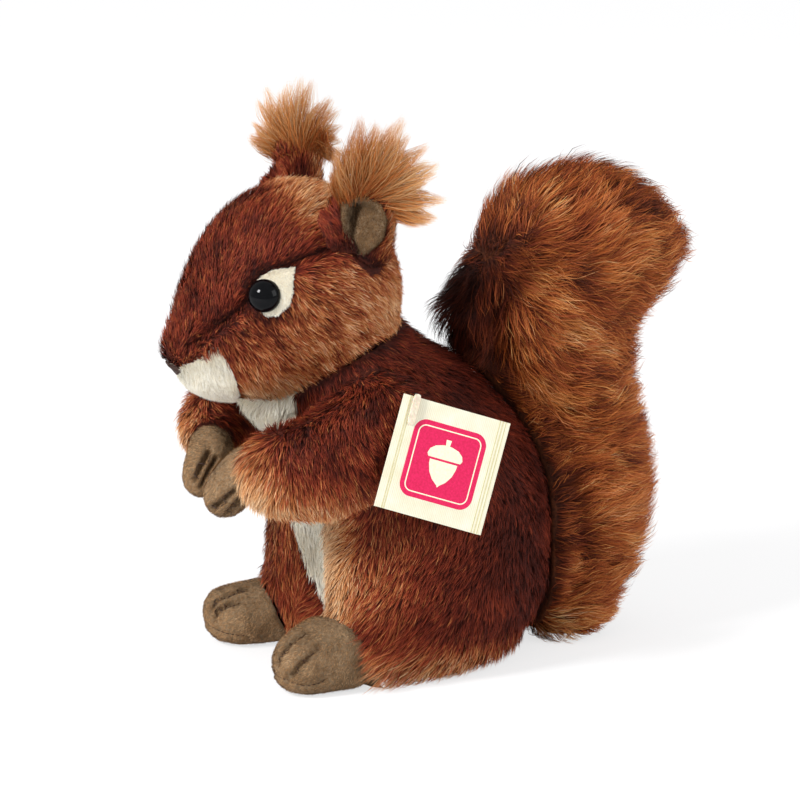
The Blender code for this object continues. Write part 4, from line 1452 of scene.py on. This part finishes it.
def card_material(placing):
    """Cream card with fine upright ribs, painted shade in their hollows, and a faint yellowing."""
    material, tree, shader = new_material("cream_card", 0.55, 0.3)
    where = object_coordinates(tree)
    along = tuple(placing.col[0][:3])
    across = node(tree, "VectorMath", {0: where, 1: along}, operation="DOT_PRODUCT").outputs["Value"]
    turns = math_node(tree, "MULTIPLY", across, 2 * math.pi / RIB_PITCH)
    ribs = math_node(tree, "SINE", turns)
    cloud = noise(tree, where, 120.0)
    base = ramp(tree, cloud, [(0.3, srgb(226, 220, 192)), (0.7, srgb(236, 233, 214))])
    height = node(tree, "MapRange", {0: ribs, 1: -1.0, 2: 1.0}).outputs[0]
    # Painted shade: the card darker in the hollows between its ribs.
    shade = ramp(tree, height, [(0.0, (0.90, 0.88, 0.84, 1)), (0.6, (1, 1, 1, 1))])
    tree.links.new(mixed(tree, 1.0, base, shade, "MULTIPLY"), shader.inputs["Base Color"])
    add_bump(tree, shader, ribs, 0.4, 0.06 * MM)
    return material


def pin_material():
    """Clear milky nylon."""
    material = grained("nylon_pin", 0.3, 0.4, 700.0, (206, 190, 168), (236, 226, 206))
    shader = material.node_tree.nodes["Principled BSDF"]
    shader.inputs["Subsurface Weight"].default_value = 0.3
    shader.inputs["Subsurface Scale"].default_value = 1.0 * MM
    return material


def washer_material():
    """White moulded plastic with a faint grain."""
    relief = (0.2, 0.1 * MM)
    return grained("washer_white", 0.45, 0.4, 900.0, (214, 212, 204), (232, 230, 224), relief=relief)


def floor_material():
    """A pale floor: white to the camera, and darker in the object's shadow."""
    material = bpy.data.materials.new("pale_floor")
    material.use_nodes = True
    tree = material.node_tree
    tree.nodes.remove(tree.nodes["Principled BSDF"])
    diffuse = node(tree, "BsdfDiffuse", {"Color": (0.82, 0.82, 0.83, 1)})
    half = node(tree, "BsdfDiffuse", {"Color": (0.34, 0.34, 0.345, 1)})
    glow = node(tree, "Emission", {"Color": (1, 1, 1, 1), "Strength": 0.70})
    seen = node(tree, "AddShader", {0: half.outputs[0], 1: glow.outputs[0]})
    rays = node(tree, "LightPath").outputs["Is Camera Ray"]
    both = node(tree, "MixShader", {0: rays, 1: diffuse.outputs[0], 2: seen.outputs[0]})
    tree.links.new(both.outputs[0], tree.nodes["Material Output"].inputs["Surface"])
    return material


def build_stage():
    """The floor, the world, two lamps and the camera."""
    bpy.ops.mesh.primitive_plane_add(size=12)
    floor = bpy.context.object
    floor.name = "floor"
    floor.data.materials.append(floor_material())

    world = bpy.data.worlds.new("studio")
    bpy.context.scene.world = world
    world.use_nodes = True
    tree = world.node_tree
    background = tree.nodes["Background"]
    background.inputs["Color"].default_value = (1, 1, 1, 1)
    paths = node(tree, "LightPath")
    strength = node(tree, "MapRange", {0: paths.outputs["Is Camera Ray"], 3: 0.66, 4: 1.0})
    tree.links.new(strength.outputs[0], background.inputs["Strength"])

    add_lamp("key", (0.31, -1.14, 0.92), 0.32, 19.0)
    add_lamp("fill", (1.25, 1.0, 0.8), 1.0, 9.5)
    add_camera()


def add_lamp(name, location, size, power):
    """A square soft lamp that faces the object."""
    lamp = bpy.data.lights.new(name, "AREA")
    lamp.size = size
    lamp.energy = power
    holder = bpy.data.objects.new(name, lamp)
    bpy.context.scene.collection.objects.link(holder)
    holder.location = location
    aim = Vector((0, 0, 0.09)) - Vector(location)
    holder.rotation_euler = aim.to_track_quat("-Z", "Y").to_euler()


def add_camera():
    """The camera at the photograph's angle."""
    back = Vector((
        math.sin(CAMERA_AZIMUTH) * math.cos(CAMERA_ELEVATION),
        -math.cos(CAMERA_AZIMUTH) * math.cos(CAMERA_ELEVATION),
        math.sin(CAMERA_ELEVATION),
    ))
    data = bpy.data.cameras.new("camera")
    data.lens = CAMERA_LENS
    camera = bpy.data.objects.new("camera", data)
    bpy.context.scene.collection.objects.link(camera)
    camera.location = CAMERA_TARGET + back * CAMERA_DISTANCE
    camera.rotation_euler = back.to_track_quat("Z", "Y").to_euler()
    bpy.context.scene.camera = camera


def make_cloths():
    """The five cloths: brown, tail and white plush, taupe nap and cream felt."""
    brown_fur = fur_material("brown_fur", (MAHOGANY, HONEY), (0.50, 0.36, 0.32))
    tail_fur = fur_material("tail_fur", (CHESTNUT, GOLDEN), (0.45, 0.33, 0.28))
    white_fur = fur_material("white_fur", (CREAM, IVORY), (0.90, 0.87, 0.80))
    taupe_fur = fur_material("taupe_fur", (TAUPE, STONE), (0.70, 0.64, 0.58))
    brown = backing_material("brown_undercoat", (40, 14, 10), (92, 38, 24))
    tail = backing_material("tail_undercoat", (44, 18, 9), (100, 50, 24))
    white = backing_material("white_undercoat", (206, 196, 176), (238, 230, 212))
    taupe = backing_material("taupe_undercoat", (92, 74, 54), (150, 126, 98))
    return {
        "brown": Cloth("brown_plush", brown, brown_fur),
        "tail": Cloth("tail_plush", tail, tail_fur),
        "white": Cloth("white_plush", white, white_fur),
        "taupe": Cloth("taupe_nap", taupe, taupe_fur),
        "felt": Cloth("patch_felt", white, white_fur),
    }


def main():
    """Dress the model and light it."""
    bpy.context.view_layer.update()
    bpy.context.scene.view_settings.view_transform = "Standard"
    cloths = make_cloths()
    tuft = fur_material("tuft_fur", (TUFT, STRAW), (0.42, 0.26, 0.15))
    thread = thread_material()
    build_body(cloths)
    build_head(cloths, thread)
    build_tail(cloths)
    for index, (side, mirror) in enumerate(SIDES):
        build_arm(side, 41 + index, cloths)
        build_ear(side, 51 + 3 * index, cloths)
        build_tuft(side, mirror, 71 + index, tuft)
        build_eye(side, mirror, eye_material())
        build_paw(f"hand_{side}", 8000, 81 + index, cloths, thread)
        build_paw(f"foot_{side}", 12500, 91 + index, cloths, thread)
    build_tag()
    build_stage()


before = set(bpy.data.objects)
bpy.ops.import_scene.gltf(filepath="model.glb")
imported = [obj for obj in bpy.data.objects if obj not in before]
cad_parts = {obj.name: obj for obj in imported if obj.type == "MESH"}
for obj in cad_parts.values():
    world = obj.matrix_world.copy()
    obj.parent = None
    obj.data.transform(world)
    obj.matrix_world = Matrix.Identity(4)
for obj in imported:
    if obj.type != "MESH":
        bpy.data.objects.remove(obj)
main()
